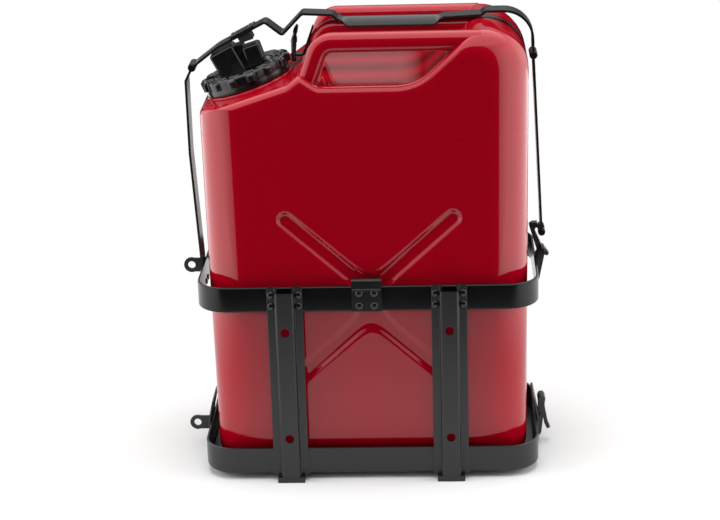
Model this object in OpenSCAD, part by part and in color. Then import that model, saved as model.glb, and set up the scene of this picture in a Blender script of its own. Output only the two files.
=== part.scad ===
// Steel jerry can clamped in a bolt-on carrier: a ring tray, a waist band on two
// hat-section uprights and a hinged hold-down strap over the handles and the cap.
// Millimetres, +Z up, the front of the carrier faces -Y.

/* [Can body] */
// Width of the can at its base
can_w = 333; // [315:1:350]
// Extra width of the can at its top
can_flare = 6; // [0:1:12]
// Depth of the can, front face to rear face
can_d = 167; // [150:1:185]
// Height of the can, base to handle tops
can_h = 469; // [430:1:510]
// Thickness of the sheet that the can is pressed from
can_wall = 1; // [0.8:0.1:2]
// Drop from the can's top to the start of the filler slope
side_drop = 81; // [72:1:90]
// Tilt of the filler slope
slope_angle = 18; // [14:0.5:20]
// Width of the filler slope, seen from the front
slope_run = 92; // [88:1:100]
// Width of the hump between the slope and the handles
hump_run = 14.4; // [12:0.2:18]
// Rise of that hump above the slope
hump_rise = 10.6; // [8:0.2:13]
// Run from the hump's peak down to the deck
hump_back = 18; // [15:1:22]
// Depth of the deck below the can's top
deck_drop = 52.5; // [46:0.5:58]
// Slant of the rise from the deck to the shoulder
rise_angle = 42; // [36:1:50]
// Width of the flat shoulder at the filler's far side
shoulder_run = 57; // [48:0.5:60]
// Corner radius of that shoulder, seen from the front
shoulder_r = 46; // [35:1:50]
// Edge radius down the sides
side_edge_r = 45; // [30:1:52]
// Edge radius along the top
top_edge_r = 8; // [6:0.5:12]
// Edge radius over the flat shoulder
shoulder_edge_r = 22; // [16:1:26]
// Edge radius round the base
base_edge_r = 36; // [20:1:42]
// Corner radius of the base, seen from the front
base_corner_r = 16; // [10:1:32]
// Width of the sunken seam between the two halves
seam_w = 8; // [5:1:12]
// Depth of that seam
seam_depth = 2; // [1:0.5:3]

/* [Pressed cross] */
// Width of the cross's channels
cross_w = 15; // [11:1:20]
// Depth of the channels
cross_depth = 3; // [2:0.5:5]
// Offset of the cross from the can's middle
cross_x = 4; // [-6:1:8]
// Height of the cross's middle above the can's base
cross_mid = 187.5; // [175:0.5:200]
// Length of the upright piece that joins the arms
cross_hub = 26; // [16:1:36]
// Reach of each arm, seen from the front
cross_reach = 86; // [70:1:95]
// Slant of the arms
cross_angle = 42; // [36:1:46]

/* [Handles] */
// Thickness of a handle, front to back
handle_t = 20; // [16:0.5:21]
// Height of a handle's rail
handle_h = 20; // [16:0.5:22]
// Edge radius of a handle
handle_edge_r = 8; // [4:0.5:8]
// Distance from the can's face to the middle of the nearest handle
handle_inset = 18.5; // [16:0.5:24]
// Lean of a handle's post
post_lean = 20; // [10:1:28]

/* [Filler and cap] */
// Distance from the can's side edge to the filler, along the slope
neck_from_edge = 52; // [50:0.5:54]
// Outer radius of the filler tube
neck_r = 34; // [28:0.5:35]
// Wall of the filler tube
neck_wall = 2.5; // [1.5:0.1:4]
// Height of the filler's lip above the slope
neck_h = 10.5; // [9:0.5:13]
// Radius of the filler's base collar
collar_r = 42; // [40:0.5:43]
// Height of the base collar
collar_h = 3.5; // [2:0.5:4]
// Depth of the filler tube inside the can
neck_depth = 12; // [6:1:20]
// Thickness of the cap's gasket
gasket_t = 2; // [1:0.2:3]
// Thickness of the closing disc
disc_t = 3; // [2:0.5:4]
// Wall of the screw ring's skirt
ring_wall = 6.6; // [4:0.2:7]
// Reach of the ring's lobes beyond its skirt
lobe_out = 4.5; // [2:0.5:5]
// Number of lobes round the ring
ring_lobes = 14; // [8:1:20]
// Thickness of the ring's top
ring_top_t = 2.7; // [2:0.1:4]
// Length of the grip block across the cap
grip_len = 51; // [40:1:56]
// Height of the grip block above the disc
grip_h = 27.5; // [18:0.5:27.5]
// Thickness of the grip block, front to back
grip_t = 26; // [18:1:32]
// Width of the tether strap
tether_w = 10; // [6:1:12]
// Thickness of the tether strap
tether_t = 2.2; // [1.6:0.1:2.6]

/* [Carrier] */
// Sheet thickness of the tray, the band and the uprights
sheet_t = 2.5; // [2:0.1:4]
// Room between the can and the carrier at the sides
side_gap = 6.4; // [4:0.2:10]
// Room between the can and the carrier at the front and back
face_gap = 8; // [5:0.2:12]
// Corner radius of the tray and the band
carrier_r = 33; // [26:1:40]
// Height of the tray's rim
tray_h = 30; // [22:1:40]
// Height of the band
band_h = 27.5; // [22:0.5:36]
// Height of the band's lower edge above the tray's floor
band_up = 181.5; // [165:0.5:200]
// Height of the feet under the tray
foot_h = 6; // [4:0.5:10]
// Width of a foot
foot_w = 29; // [24:1:36]
// Width of an upright over its flanges
upright_w = 37; // [34:1:44]
// Width of an upright's rib
rib_w = 20; // [18:0.5:22]
// Depth of an upright's rib
rib_d = 10; // [7:0.5:14]
// Distance between the two uprights
upright_pitch = 170; // [150:1:190]
// Upright distance between the mounting holes
hole_pitch = 120; // [100:1:130]
// Diameter of a mounting hole
hole_d = 9; // [6:0.5:11]
// Height of the lower mounting holes above the tray's floor
hole_up = 42.5; // [36:0.5:48]
// Length of the band's joint plate
joint_w = 31; // [26:1:40]
// Outer radius of the rolled bead on the joint plate
bead_r = 4; // [3:0.5:5]
// Radius of a rivet's shank
rivet_r = 2; // [1.5:0.1:2.2]
// Width of a side guide
guide_w = 44; // [36:1:60]
// Height of a side guide above the tray's rim
guide_up = 24; // [18:1:30]
// Lean of a side guide towards the can
guide_lean = 5; // [2:0.5:5.5]
// Radius of the hole in a tie eye
eye_hole_r = 4; // [3:0.5:5]
// Outer radius of a tie eye
eye_r = 8.4; // [7.5:0.1:10]
// Reach of the band's tie eye beyond the stay
band_eye_reach = 11.1; // [10:0.1:16]
// Reach of the tray's tie eye beyond the guide
tray_eye_reach = 14.8; // [10:0.1:18]

/* [Strap] */
// Width of the hold-down strap
strap_w = 24; // [20:0.5:28]
// Thickness of the strap
strap_t = 2.5; // [2:0.1:3.5]
// Drop from the can's top to the left hinge
hinge_drop_left = 46; // [42:0.5:50]
// Drop from the can's top to the right hinge
hinge_drop_right = 39.5; // [34:0.5:46]
// Height of the strap's crest above the can's top
strap_crest = 8.5; // [7:0.5:14]
// Depth of the flanges that fold down over the middle handle
saddle_d = 9; // [6:0.5:12]
// Radius of a hinge pin
pin_r = 2.4; // [2.2:0.1:3]
// Outer radius of a hinge knuckle
knuckle_r = 4.2; // [4:0.1:5.5]
// Length of the pad that presses on the cap
pad_len = 14; // [10:1:18]

/* [Latch] */
// Radius of the bolt at the link's foot
bolt_r = 2; // [1.8:0.1:2.6]
// Length of the link's fork
fork_len = 24; // [20:1:30]
// Thickness of the latch hook and the tie hook
hook_t = 8; // [6:0.5:8]
// Distance from the hook's pivot to the link's bolt
hook_reach = 22.8; // [20:0.2:26]
// Length of the tie hook's tongue
tongue_len = 37; // [28:1:42]
// Outward lean of the tongue as it hangs
tongue_lean = 10; // [6:1:20]

/* [Hidden] */
$fn = 64;
corner_steps = 5;
edge_steps = 7;
bend_steps = 9;
// Running clearance between two moving pieces
clear = 0.4;
// Running clearance between a pin and its bore
pin_clear = 0.05;
// Assembly clearance between two fixed round pieces
seat_clear = 0.15;

// Places that the pieces share
z_floor = foot_h + sheet_t;
z_top = z_floor + can_h;
half_base = can_w / 2;
half_top = (can_w + can_flare) / 2;
half_d = can_d / 2;
carrier_hw = half_top + side_gap + sheet_t;
carrier_hd = half_d + face_gap + sheet_t;
band_z = z_floor + band_up;
band_top = band_z + band_h;
tray_top = foot_h + tray_h;
upright_top = band_top + 1.5;
hole_z = [z_floor + hole_up, z_floor + hole_up + hole_pitch];

// Front outline of the can, counter-clockwise from the lower left corner
slope_start = [-(half_base + (half_top - half_base) * (can_h - side_drop) / can_h), z_top - side_drop];
slope_end = slope_start + slope_run * [1, tan(slope_angle)];
peak = slope_end + [hump_run, hump_rise];
deck_z = z_top - deck_drop;
deck_left = [peak[0] + hump_back, deck_z];
shoulder = [half_top - shoulder_run, z_top];
deck_right = [shoulder[0] - deck_drop / tan(rise_angle), deck_z];
can_points = [[-half_base, z_floor], [half_base, z_floor], [half_top, z_top], shoulder, deck_right,
    deck_left, peak, slope_end, slope_start];
can_corner_r = [base_corner_r, base_corner_r, shoulder_r, 25, 30, 12, 6, 12, 10];
can_edge_r = [base_edge_r, side_edge_r, shoulder_edge_r, top_edge_r, top_edge_r, top_edge_r, top_edge_r,
    top_edge_r, side_edge_r];

// Filler, on the slope
slope_dir = [cos(slope_angle), sin(slope_angle)];
neck_at = slope_start + neck_from_edge * slope_dir;
thread_r = neck_r + 3.6;
step_r = collar_r - 3;
step_h = collar_h + 1.5;
disc_z = neck_h + gasket_t;
ring_top = disc_z + disc_t + clear + ring_top_t;
ring_bore_r = thread_r + 2 * clear;
ring_skirt_r = ring_bore_r + ring_wall;
ring_r = ring_skirt_r + lobe_out;

// Handles
rail_z = z_top - handle_h / 2;
post_dir = [sin(post_lean), cos(post_lean)];
post_foot = peak + [handle_h / 2 / cos(post_lean), 0];
post_head = post_foot + post_dir * (rail_z - post_foot[1]) / post_dir[1];
handle_rows = [handle_inset - half_d, 0, half_d - handle_inset];

// Hinges of the strap, each a point in the front view
left_hinge = [-carrier_hw, z_top - hinge_drop_left];
right_hinge = [carrier_hw - 3, z_top - hinge_drop_right];
strap_z = z_top + clear + strap_t / 2;
strap_path = [left_hinge, peak + [-88, 15.4], peak + [-38, 40.9], peak + [-20.5, 27.1], peak + [0.6, 48.7],
    peak + [31.6, 47], [peak[0] + 36.6, strap_z], [deck_right[0] + 34, strap_z],
    [shoulder[0] + 9.5, z_top + strap_crest - 4.8], [shoulder[0] + 14.2, z_top + strap_crest],
    [right_hinge[0] - 1, z_top + strap_crest], right_hinge];
strap_bend_r = [0, 40, 4, 3, 5, 3, 3, 6, 4, 4, 28, 0];
strap_slope = unit(strap_path[2] - strap_path[1]);
stay_out = 7.1;
hinge_w = strap_w / 2;

// Latch, at the foot of the right link
latch_out = 5.6;
latch_up = 6.2;
latch_pivot = [carrier_hw + latch_out, band_top + latch_up];
link_bolt_at = latch_pivot + [0, hook_reach];
fork_w = hook_t + 2 * clear;
tray_hook_out = 6.1;
tray_hook_up = 16;
hook_pivot = [carrier_hw + tray_hook_out, tray_top + tray_hook_up];

// Plane geometry
function unit(v) = v / norm(v);
function left_of(v) = [-v[1], v[0]];
function polar(at, r, a) = at + r * [sin(a), cos(a)];
function turn(v, a) = [v[0] * cos(a) - v[1] * sin(a), v[0] * sin(a) + v[1] * cos(a)];
function meet(p, u, q, v) = p + u * cross(q - p, v) / cross(u, v);

// Half the angle at corner i of an outline, and the length that its fillet takes from each side
function half_angle(a, b, c) = acos(max(-1, min(1, unit(a - b) * unit(c - b)))) / 2;
function fillet_reaches(pts, radii) =
    let (n = len(pts))
    let (want = [for (i = [0:n - 1])
        radii[i] / tan(half_angle(pts[(i + n - 1) % n], pts[i], pts[(i + 1) % n]))])
    let (room = [for (i = [0:n - 1])
        min(1, 0.98 * norm(pts[(i + 1) % n] - pts[i]) / max(0.001, want[i] + want[(i + 1) % n]))])
    [for (i = [0:n - 1]) want[i] * min(room[i], room[(i + n - 1) % n])];

// The corner a-b-c rounded by an arc that starts and ends at the given reach from b
function fillet(a, b, c, reach, steps) =
    let (u = unit(a - b), v = unit(c - b), half = half_angle(a, b, c))
    let (centre = b + unit(u + v) * reach / cos(half), spoke = b + u * reach - centre)
    let (sweep = (180 - 2 * half) * sign(cross(b - a, c - b)))
    [for (i = [0:steps]) centre + turn(spoke, sweep * i / steps)];

function round_closed(pts, radii, steps) =
    let (n = len(pts), reach = fillet_reaches(pts, radii))
    [for (i = [0:n - 1]) each fillet(pts[(i + n - 1) % n], pts[i], pts[(i + 1) % n], reach[i], steps)];

function round_path(pts, radii) =
    let (n = len(pts), reach = fillet_reaches(pts, radii))
    [for (i = [0:n - 1])
        each radii[i] == 0 ? [pts[i]] : fillet(pts[i - 1], pts[i], pts[i + 1], reach[i], bend_steps)];

// A closed outline with each edge moved inwards by its own distance
function inset(pts, d) =
    let (n = len(pts), dirs = [for (i = [0:n - 1]) unit(pts[(i + 1) % n] - pts[i])])
    [for (i = [0:n - 1])
        let (h = (i + n - 1) % n)
        meet(pts[i] + d[h] * left_of(dirs[h]), dirs[h], pts[i] + d[i] * left_of(dirs[i]), dirs[i])];

// The outline of a bent strip of thickness t that follows a path
function strip_side(path, d) =
    let (n = len(path))
    [for (i = [0:n - 1])
        let (u = unit(path[max(i, 1)] - path[max(i, 1) - 1]))
        let (v = unit(path[min(i, n - 2) + 1] - path[min(i, n - 2)]))
        let (m = unit(left_of(u) + left_of(v)))
        path[i] + m * d / (m * left_of(u))];
function reversed(list) = [for (i = [len(list) - 1:-1:0]) list[i]];
function strip(path, t) = concat(strip_side(path, -t / 2), reversed(strip_side(path, t / 2)));

// A channel with round ends from p to q
function slot(p, q, w) =
    let (a = atan2(q[1] - p[1], q[0] - p[0]))
    concat([for (i = [0:8]) q + w / 2 * [cos(a - 90 + i * 22.5), sin(a - 90 + i * 22.5)]],
        [for (i = [0:8]) p + w / 2 * [cos(a + 90 + i * 22.5), sin(a + 90 + i * 22.5)]]);

function rounded_box(hw, hd, r) =
    round_closed([[-hw, -hd], [hw, -hd], [hw, hd], [-hw, hd]], [r, r, r, r], 10);

// Helpers that place flat outlines and pins
module front_plate(y0, y1) {
    translate([0, y1, 0]) rotate([90, 0, 0]) linear_extrude(y1 - y0) children();
}
module pin_y(at, y0, y1, r) {
    front_plate(y0, y1) translate(at) circle(r);
}
module on_neck() {
    translate([neck_at[0], 0, neck_at[1]]) rotate([0, -slope_angle, 0]) children();
}
module tube(r_out, r_in, h) {
    difference() {
        cylinder(r = r_out, h = h);
        translate([0, 0, -1]) cylinder(r = r_in, h = h + 2);
    }
}

// A rivet along +Y: its set head, its shank through the grip and its flat tail
module rivet(grip) {
    head_h = 1.6;
    tail_h = 1.2;
    rotate([-90, 0, 0]) {
        translate([0, 0, -head_h]) cylinder(r1 = rivet_r, r2 = 1.7 * rivet_r, h = head_h);
        cylinder(r = rivet_r, h = grip);
        translate([0, 0, grip]) cylinder(r = 1.5 * rivet_r, h = tail_h);
    }
}
module rivet_hole(at, y0, y1) {
    pin_y(at, y0, y1, rivet_r + pin_clear);
}

// Can: one half is a pressed shell, rounded from its flat face into its sides
function edge_inset(r, s) = s >= r ? 0 : r - sqrt(max(0, 2 * r * s - s * s));
function half_ring(s, base, shrink) =
    let (d = [for (r = can_edge_r) base + edge_inset(max(r - shrink, 1), s)])
    let (n = len(d), pts = inset(can_points, d))
    let (radii = [for (i = [0:n - 1])
        let (h = (i + n - 1) % n, j = (i + 1) % n)
        let (bend = cross(can_points[i] - can_points[h], can_points[j] - can_points[i]))
        max(1, can_corner_r[i] - sign(bend) * (d[h] + d[i]) / 2)])
    round_closed(pts, radii, corner_steps);
function edge_levels(r) = [for (i = [0:edge_steps]) r * (1 - cos(90 * i / edge_steps))];
function at_depth(ring, y) = [for (p = ring) [p[0], y, p[1]]];

function half_outer() =
    let (seam_start = half_d - seam_w / 2)
    concat(
        [for (s = edge_levels(side_edge_r)) at_depth(half_ring(s, 0, 0), s - half_d)],
        [at_depth(half_ring(side_edge_r, 0, 0), seam_start - 2 * seam_depth - half_d),
         at_depth(half_ring(side_edge_r, seam_depth, 0), seam_start - half_d),
         at_depth(half_ring(side_edge_r, seam_depth, 0), 0)]);
function half_inner() =
    let (seam_in = seam_depth + can_wall)
    concat(
        [at_depth(half_ring(side_edge_r, seam_in, can_wall), 0),
         at_depth(half_ring(side_edge_r, seam_in, can_wall), -seam_w / 2 - 2 * seam_depth)],
        reversed([for (s = edge_levels(side_edge_r - can_wall))
            at_depth(half_ring(s, can_wall, can_wall), s + can_wall - half_d)]));

// A point low in the can that sees its whole outline, so that flat ends can be filled from it
function can_hub(y) = [0, y, z_floor + can_h / 5];

// A solid through rings of equal length, each turning the same way round, with an end filled from each hub
module skin(rings, hubs) {
    count = len(rings[0]);
    last = len(rings) - 1;
    walls = [for (k = [0:last - 1]) for (i = [0:count - 1])
        let (j = (i + 1) % count)
        each [[k * count + i, (k + 1) * count + j, (k + 1) * count + i],
              [k * count + i, k * count + j, (k + 1) * count + j]]];
    hub = (last + 1) * count;
    caps = [for (i = [0:count - 1])
        let (j = (i + 1) % count)
        each [[hub, j, i], [hub + 1, last * count + i, last * count + j]]];
    polyhedron(points = concat([for (ring = rings) each ring], hubs), faces = concat(walls, caps));
}

// Half of the can as if it were solid
module can_filled() {
    skin(half_outer(), [can_hub(-half_d), can_hub(0)]);
}

// The cross pressed into each face: four arms and the piece between them
module cross_outline(grow) {
    mid = [cross_x, z_floor + cross_mid];
    w = cross_w + 2 * grow;
    polygon(slot(mid - [0, cross_hub / 2], mid + [0, cross_hub / 2], w));
    for (up = [-1, 1])
        for (side = [-1, 1]) {
            hub = mid + [0, up * cross_hub / 2];
            polygon(slot(hub, hub + cross_reach * [side, up * tan(cross_angle)], w));
        }
}

module can_half() {
    difference() {
        union() {
            skin(concat(half_outer(), half_inner()), [can_hub(-half_d), can_hub(can_wall - half_d)]);
            front_plate(can_wall / 2 - half_d, cross_depth + can_wall - half_d) cross_outline(can_wall);
        }
        front_plate(-1 - half_d, cross_depth - half_d) cross_outline(0);
        on_neck() translate([0, 0, -3 * neck_depth]) cylinder(r = neck_r + seat_clear, h = 6 * neck_depth);
    }
}

module front_shell() {
    color("firebrick") can_half();
}
module rear_shell() {
    color("firebrick") mirror([0, 1, 0]) can_half();
}

// Handles: a leaning post and a rail that runs into the shoulder, each end cut to the can's skin
handle_corners = [for (c = [[-1, -1], [1, -1], [1, 1], [-1, 1]]) [c[0] * handle_t, c[1] * handle_h] / 2];
handle_section = round_closed(handle_corners, [for (i = [0:3]) handle_edge_r], 4);
function rod_ring(p, u, v, y) =
    let (m = unit(left_of(u) + left_of(v)))
    [for (c = handle_section)
        let (q = p + m * c[1] / (m * left_of(u)))
        [q[0], y - c[0], q[1]]];
function rod_rings(path, y) =
    let (n = len(path))
    [for (i = [0:n - 1])
        rod_ring(path[i], unit(path[max(i, 1)] - path[max(i, 1) - 1]),
            unit(path[min(i, n - 2) + 1] - path[min(i, n - 2)]), y)];
module handle(row) {
    foot = post_foot - post_dir * handle_h;
    path = round_path([foot, post_head, [shoulder[0] + 12, rail_z]], [0, 0.9 * handle_h, 0]);
    y = handle_rows[row];
    end = path[len(path) - 1];
    color("firebrick") difference() {
        skin(rod_rings(path, y), [[foot[0], y, foot[1]], [end[0], y, end[1]]]);
        can_filled();
        mirror([0, 1, 0]) can_filled();
    }
}
module front_handle() {
    handle(0);
}
module middle_handle() {
    handle(1);
}
module rear_handle() {
    handle(2);
}

// Filler: a tube through the slope, with two steps outside and thread crests above
module filler_neck() {
    color("firebrick") on_neck() difference() {
        union() {
            translate([0, 0, -neck_depth]) cylinder(r = neck_r, h = neck_depth + neck_h);
            cylinder(r = collar_r, h = collar_h);
            cylinder(r = step_r, h = step_h);
            for (z = [step_h + 1, step_h + 3.4])
                translate([0, 0, z]) cylinder(r = thread_r, h = 1);
        }
        translate([0, 0, -neck_depth - 1]) cylinder(r = neck_r - neck_wall, h = neck_depth + neck_h + 2);
    }
}

// Cap: a gasket on the lip, a disc with a grip block and the ring that screws them down
module cap_gasket() {
    color("dimgray") on_neck() translate([0, 0, neck_h]) tube(neck_r, neck_r - neck_wall, gasket_t);
}
module cap_insert() {
    half = grip_len / 2;
    notch = 2;
    step = 2;
    color("black") on_neck() translate([0, 0, disc_z]) {
        cylinder(r = neck_r + 1.5, h = disc_t);
        translate([-half - step, -grip_t / 2, 0]) cube([half, grip_t, disc_t + grip_h - step]);
        translate([notch - step, step - grip_t / 2, 0])
            cube([half - notch, grip_t - 2 * step, disc_t + grip_h]);
        translate([-2 * step, 2 * step - grip_t / 2, 0])
            cube([2 * notch + step, grip_t - 4 * step, disc_t + grip_h - 2 * step]);
    }
}
module cap_ring() {
    skirt_z = step_h + clear;
    lobe_r = 5;
    color("black") on_neck() difference() {
        union() {
            translate([0, 0, skirt_z]) cylinder(r = ring_skirt_r, h = ring_top - skirt_z);
            translate([0, 0, skirt_z + 3]) for (i = [1:ring_lobes])
                rotate(i * 360 / ring_lobes) translate([ring_r - lobe_r, 0, 0])
                    cylinder(r = lobe_r, h = ring_top - skirt_z - 4.5);
        }
        translate([0, 0, skirt_z - 1]) cylinder(r = ring_bore_r, h = ring_top - skirt_z - ring_top_t + 1);
        cylinder(r = neck_r - 2, h = ring_top + 1);
    }
}

// Tether: a loop round the middle handle's post, with a tail that stands up beside the cap
module cap_tether() {
    loop_h = 8;
    loop_up = 13;
    seat = post_foot + left_of(post_dir) * (handle_h + tether_t) / 2;
    tail = seat + [-6.6, 0.4];
    back_h = 32;
    tail_mid_h = 16;
    tail_h = 30;
    tail_bend_r = 20;
    path = [seat + post_dir * back_h, seat + post_dir * 0.5, tail, tail + [-0.6, tail_mid_h],
        tail + [1.4, tail_h]];
    color("black") {
        front_plate(-tether_w / 2, tether_w / 2)
            polygon(strip(round_path(path, [0, 2.6, 2.6, tail_bend_r, 0]), tether_t));
        translate([post_foot[0], 0, post_foot[1]]) rotate([0, post_lean, 0])
            translate([0, 0, loop_up]) difference() {
                cube([handle_h + 2 * tether_t, handle_t + 2 * tether_t, loop_h], center = true);
                cube([handle_h, handle_t, 2 * loop_h], center = true);
            }
    }
}

// Carrier: tray, band and its riveted joint
module carrier_outline(grow) {
    polygon(rounded_box(carrier_hw + grow, carrier_hd + grow, carrier_r + grow));
}
module tray() {
    color("dimgray") difference() {
        translate([0, 0, foot_h]) linear_extrude(tray_h) carrier_outline(0);
        translate([0, 0, z_floor]) linear_extrude(tray_h) carrier_outline(-sheet_t);
    }
}
joint_rivets = [for (x = [-1, 1]) for (z = [0.25, 0.75]) [x * joint_w / 4, band_z + z * band_h]];
flange_x = (upright_w + rib_w) / 4;
band_rivets = [for (side = [-1, 1]) for (edge = [-1, 1]) for (z = [0.28, 0.72])
    [side * upright_pitch / 2 + edge * flange_x, band_z + z * band_h]];
stay_rivet_at = [-strap_w / 3.6, strap_w / 3.6];
module band() {
    slit = 2;
    color("dimgray") difference() {
        translate([0, 0, band_z]) linear_extrude(band_h) difference() {
            carrier_outline(0);
            carrier_outline(-sheet_t);
        }
        translate([-slit / 2, -carrier_hd - 1, band_z - 1]) cube([slit, 2 * sheet_t, band_h + 2]);
        for (at = concat(joint_rivets, band_rivets))
            rivet_hole(at, -carrier_hd - 1, sheet_t + 1 - carrier_hd);
        for (y = stay_rivet_at)
            translate([-carrier_hw - 1, y, band_z + 5]) rotate([0, 90, 0])
                cylinder(r = rivet_r + pin_clear, h = sheet_t + 2);
    }
}
module band_joint_plate() {
    bead_z = band_top + bead_r + clear;
    color("dimgray") difference() {
        union() {
            translate([-joint_w / 2, -carrier_hd - sheet_t, band_z + 1])
                cube([joint_w, sheet_t, bead_z - band_z - 1]);
            translate([-joint_w / 2, bead_r - carrier_hd - sheet_t, bead_z]) rotate([0, 90, 0])
                cylinder(r = bead_r, h = joint_w);
        }
        translate([-joint_w / 2 - 1, bead_r - carrier_hd - sheet_t, bead_z]) rotate([0, 90, 0])
            cylinder(r = bead_r - 1.8, h = joint_w + 2);
        for (at = joint_rivets)
            rivet_hole(at, -carrier_hd - sheet_t - 1, 1 - carrier_hd);
    }
}
module band_joint_rivets() {
    color("gray") for (at = joint_rivets)
        translate([at[0], -carrier_hd - sheet_t, at[1]]) rivet(2 * sheet_t);
}

// Uprights: hat sections whose ribs hold the mounting bolts clear of the can
module upright(side) {
    face = -carrier_hd;
    hw = upright_w / 2;
    rib = rib_w / 2;
    hat = [[-hw, face], [-rib + sheet_t, face], [-rib + sheet_t, face - rib_d + sheet_t],
        [rib - sheet_t, face - rib_d + sheet_t], [rib - sheet_t, face], [hw, face], [hw, face - sheet_t],
        [rib, face - sheet_t], [rib, face - rib_d], [-rib, face - rib_d], [-rib, face - sheet_t],
        [-hw, face - sheet_t]];
    x = side * upright_pitch / 2;
    color("dimgray") difference() {
        translate([x, 0, foot_h]) linear_extrude(upright_top - foot_h) polygon(hat);
        for (z = hole_z)
            pin_y([x, z], face - rib_d - 1, face - rib_d + sheet_t + 1, hole_d / 2);
        for (at = band_rivets)
            rivet_hole(at, face - sheet_t - 1, face + 1);
    }
}
module left_upright() {
    upright(-1);
}
module right_upright() {
    upright(1);
}
module upright_rivets() {
    color("gray") for (at = band_rivets)
        translate([at[0], -carrier_hd - sheet_t, at[1]]) rivet(2 * sheet_t);
}

// Feet: bars that the tray and the uprights stand on
module foot(side) {
    color("dimgray") translate([side * upright_pitch / 2 - foot_w / 2, -carrier_hd - rib_d, 0])
        cube([foot_w, 2 * carrier_hd + rib_d, foot_h]);
}
module left_foot() {
    foot(-1);
}
module right_foot() {
    foot(1);
}

// Side guides on the tray, leaning in towards the can
module tray_guide(side) {
    x = carrier_hw + sheet_t / 2;
    path = [[x, foot_h + 3], [x, tray_top + 1], [x - guide_lean, tray_top + guide_up]];
    color("dimgray") mirror([side < 0 ? 1 : 0, 0, 0])
        front_plate(-guide_w / 2, guide_w / 2) polygon(strip(path, sheet_t));
}
module left_tray_guide() {
    tray_guide(-1);
}
module right_tray_guide() {
    tray_guide(1);
}

// Tie eyes on the left side
module tie_eye(base_x, reach, z) {
    color("dimgray") front_plate(-sheet_t / 2, sheet_t / 2) difference() {
        union() {
            translate([base_x - reach, z]) circle(eye_r);
            translate([base_x - reach, z - eye_r + 0.6]) square([reach, 2 * eye_r - 1.2]);
        }
        translate([base_x - reach, z]) circle(eye_hole_r);
    }
}
module band_eye() {
    tie_eye(-carrier_hw - strap_t, band_eye_reach, band_top - 6);
}
module tray_eye() {
    tie_eye(-carrier_hw - sheet_t, tray_eye_reach, tray_top - 9.5);
}

// Hinge knuckles: a fork on one piece and a tongue on the other, round one pin
module knuckle_fork(at) {
    for (side = [-1, 1])
        front_plate(side > 0 ? fork_w / 2 : -hinge_w, side > 0 ? hinge_w : -fork_w / 2)
            translate(at) circle(knuckle_r);
}
module fork_gap(at) {
    front_plate(-fork_w / 2, fork_w / 2) translate(at) circle(knuckle_r + 3 * clear);
}
module pin_bore(at) {
    pin_y(at, -strap_w, strap_w, pin_r + pin_clear);
}
module hinge_pin(at) {
    head_h = 2;
    color("gray") {
        pin_y(at, -hinge_w, hinge_w, pin_r);
        pin_y(at, -hinge_w - head_h, -hinge_w, knuckle_r - 0.4);
        pin_y(at, hinge_w, hinge_w + head_h, knuckle_r - 0.4);
    }
}

// Left stay: riveted to the band, it carries the strap's hinge
module left_stay() {
    x = carrier_hw + strap_t / 2;
    knee = left_hinge + [-stay_out, -14];
    path = [[-x, band_z + 1], [-x, band_top + 3], [knee[0], (band_top + z_top) / 2 - 8], knee, left_hinge];
    color("dimgray") difference() {
        union() {
            difference() {
                front_plate(-strap_w / 2, strap_w / 2) polygon(strip(path, strap_t));
                front_plate(-strap_w, strap_w) translate(left_hinge) circle(knuckle_r + 3 * clear);
            }
            front_plate(-hook_t / 2, hook_t / 2) {
                translate(left_hinge) circle(knuckle_r);
                polygon(strip([left_hinge + 1.2 * (knee - left_hinge) / 2, left_hinge], strap_t));
            }
        }
        pin_bore(left_hinge);
        for (y = stay_rivet_at)
            translate([-carrier_hw - strap_t - 1, y, band_z + 5]) rotate([0, 90, 0])
                cylinder(r = rivet_r + pin_clear, h = strap_t + 2);
    }
}
module stay_rivets() {
    color("gray") for (y = stay_rivet_at)
        translate([-carrier_hw - strap_t, y, band_z + 5]) rotate([0, 0, -90]) rivet(strap_t + sheet_t);
}
module left_hinge_pin() {
    hinge_pin(left_hinge);
}
module right_hinge_pin() {
    hinge_pin(right_hinge);
}

// Strap: one bent strip with flanges that fold down over the middle handle
pad_mid = strap_path[1] + strap_slope * 30;
pad_rivet_out = pad_len / 2 + 1.5 * rivet_r + clear;
plate_len = 2 * pad_rivet_out + 3.6 * rivet_r;
plate_t = 1.5;
module top_strap() {
    flange_t = 1.2;
    from = strap_path[6] + [1, 0];
    to = strap_path[7] - [5, 0];
    low = z_top + clear + strap_t - saddle_d;
    color("dimgray") difference() {
        union() {
            front_plate(-strap_w / 2, strap_w / 2)
                polygon(strip(round_path(strap_path, strap_bend_r), strap_t));
            for (y = [-strap_w / 2, strap_w / 2 - flange_t])
                front_plate(y, y + flange_t)
                    polygon([from, to, [to[0] - saddle_d, low], [from[0] + saddle_d, low]]);
            knuckle_fork(left_hinge);
            knuckle_fork(right_hinge);
        }
        fork_gap(left_hinge);
        fork_gap(right_hinge);
        pin_bore(left_hinge);
        pin_bore(right_hinge);
        pad_rivet_holes();
    }
}

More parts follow.
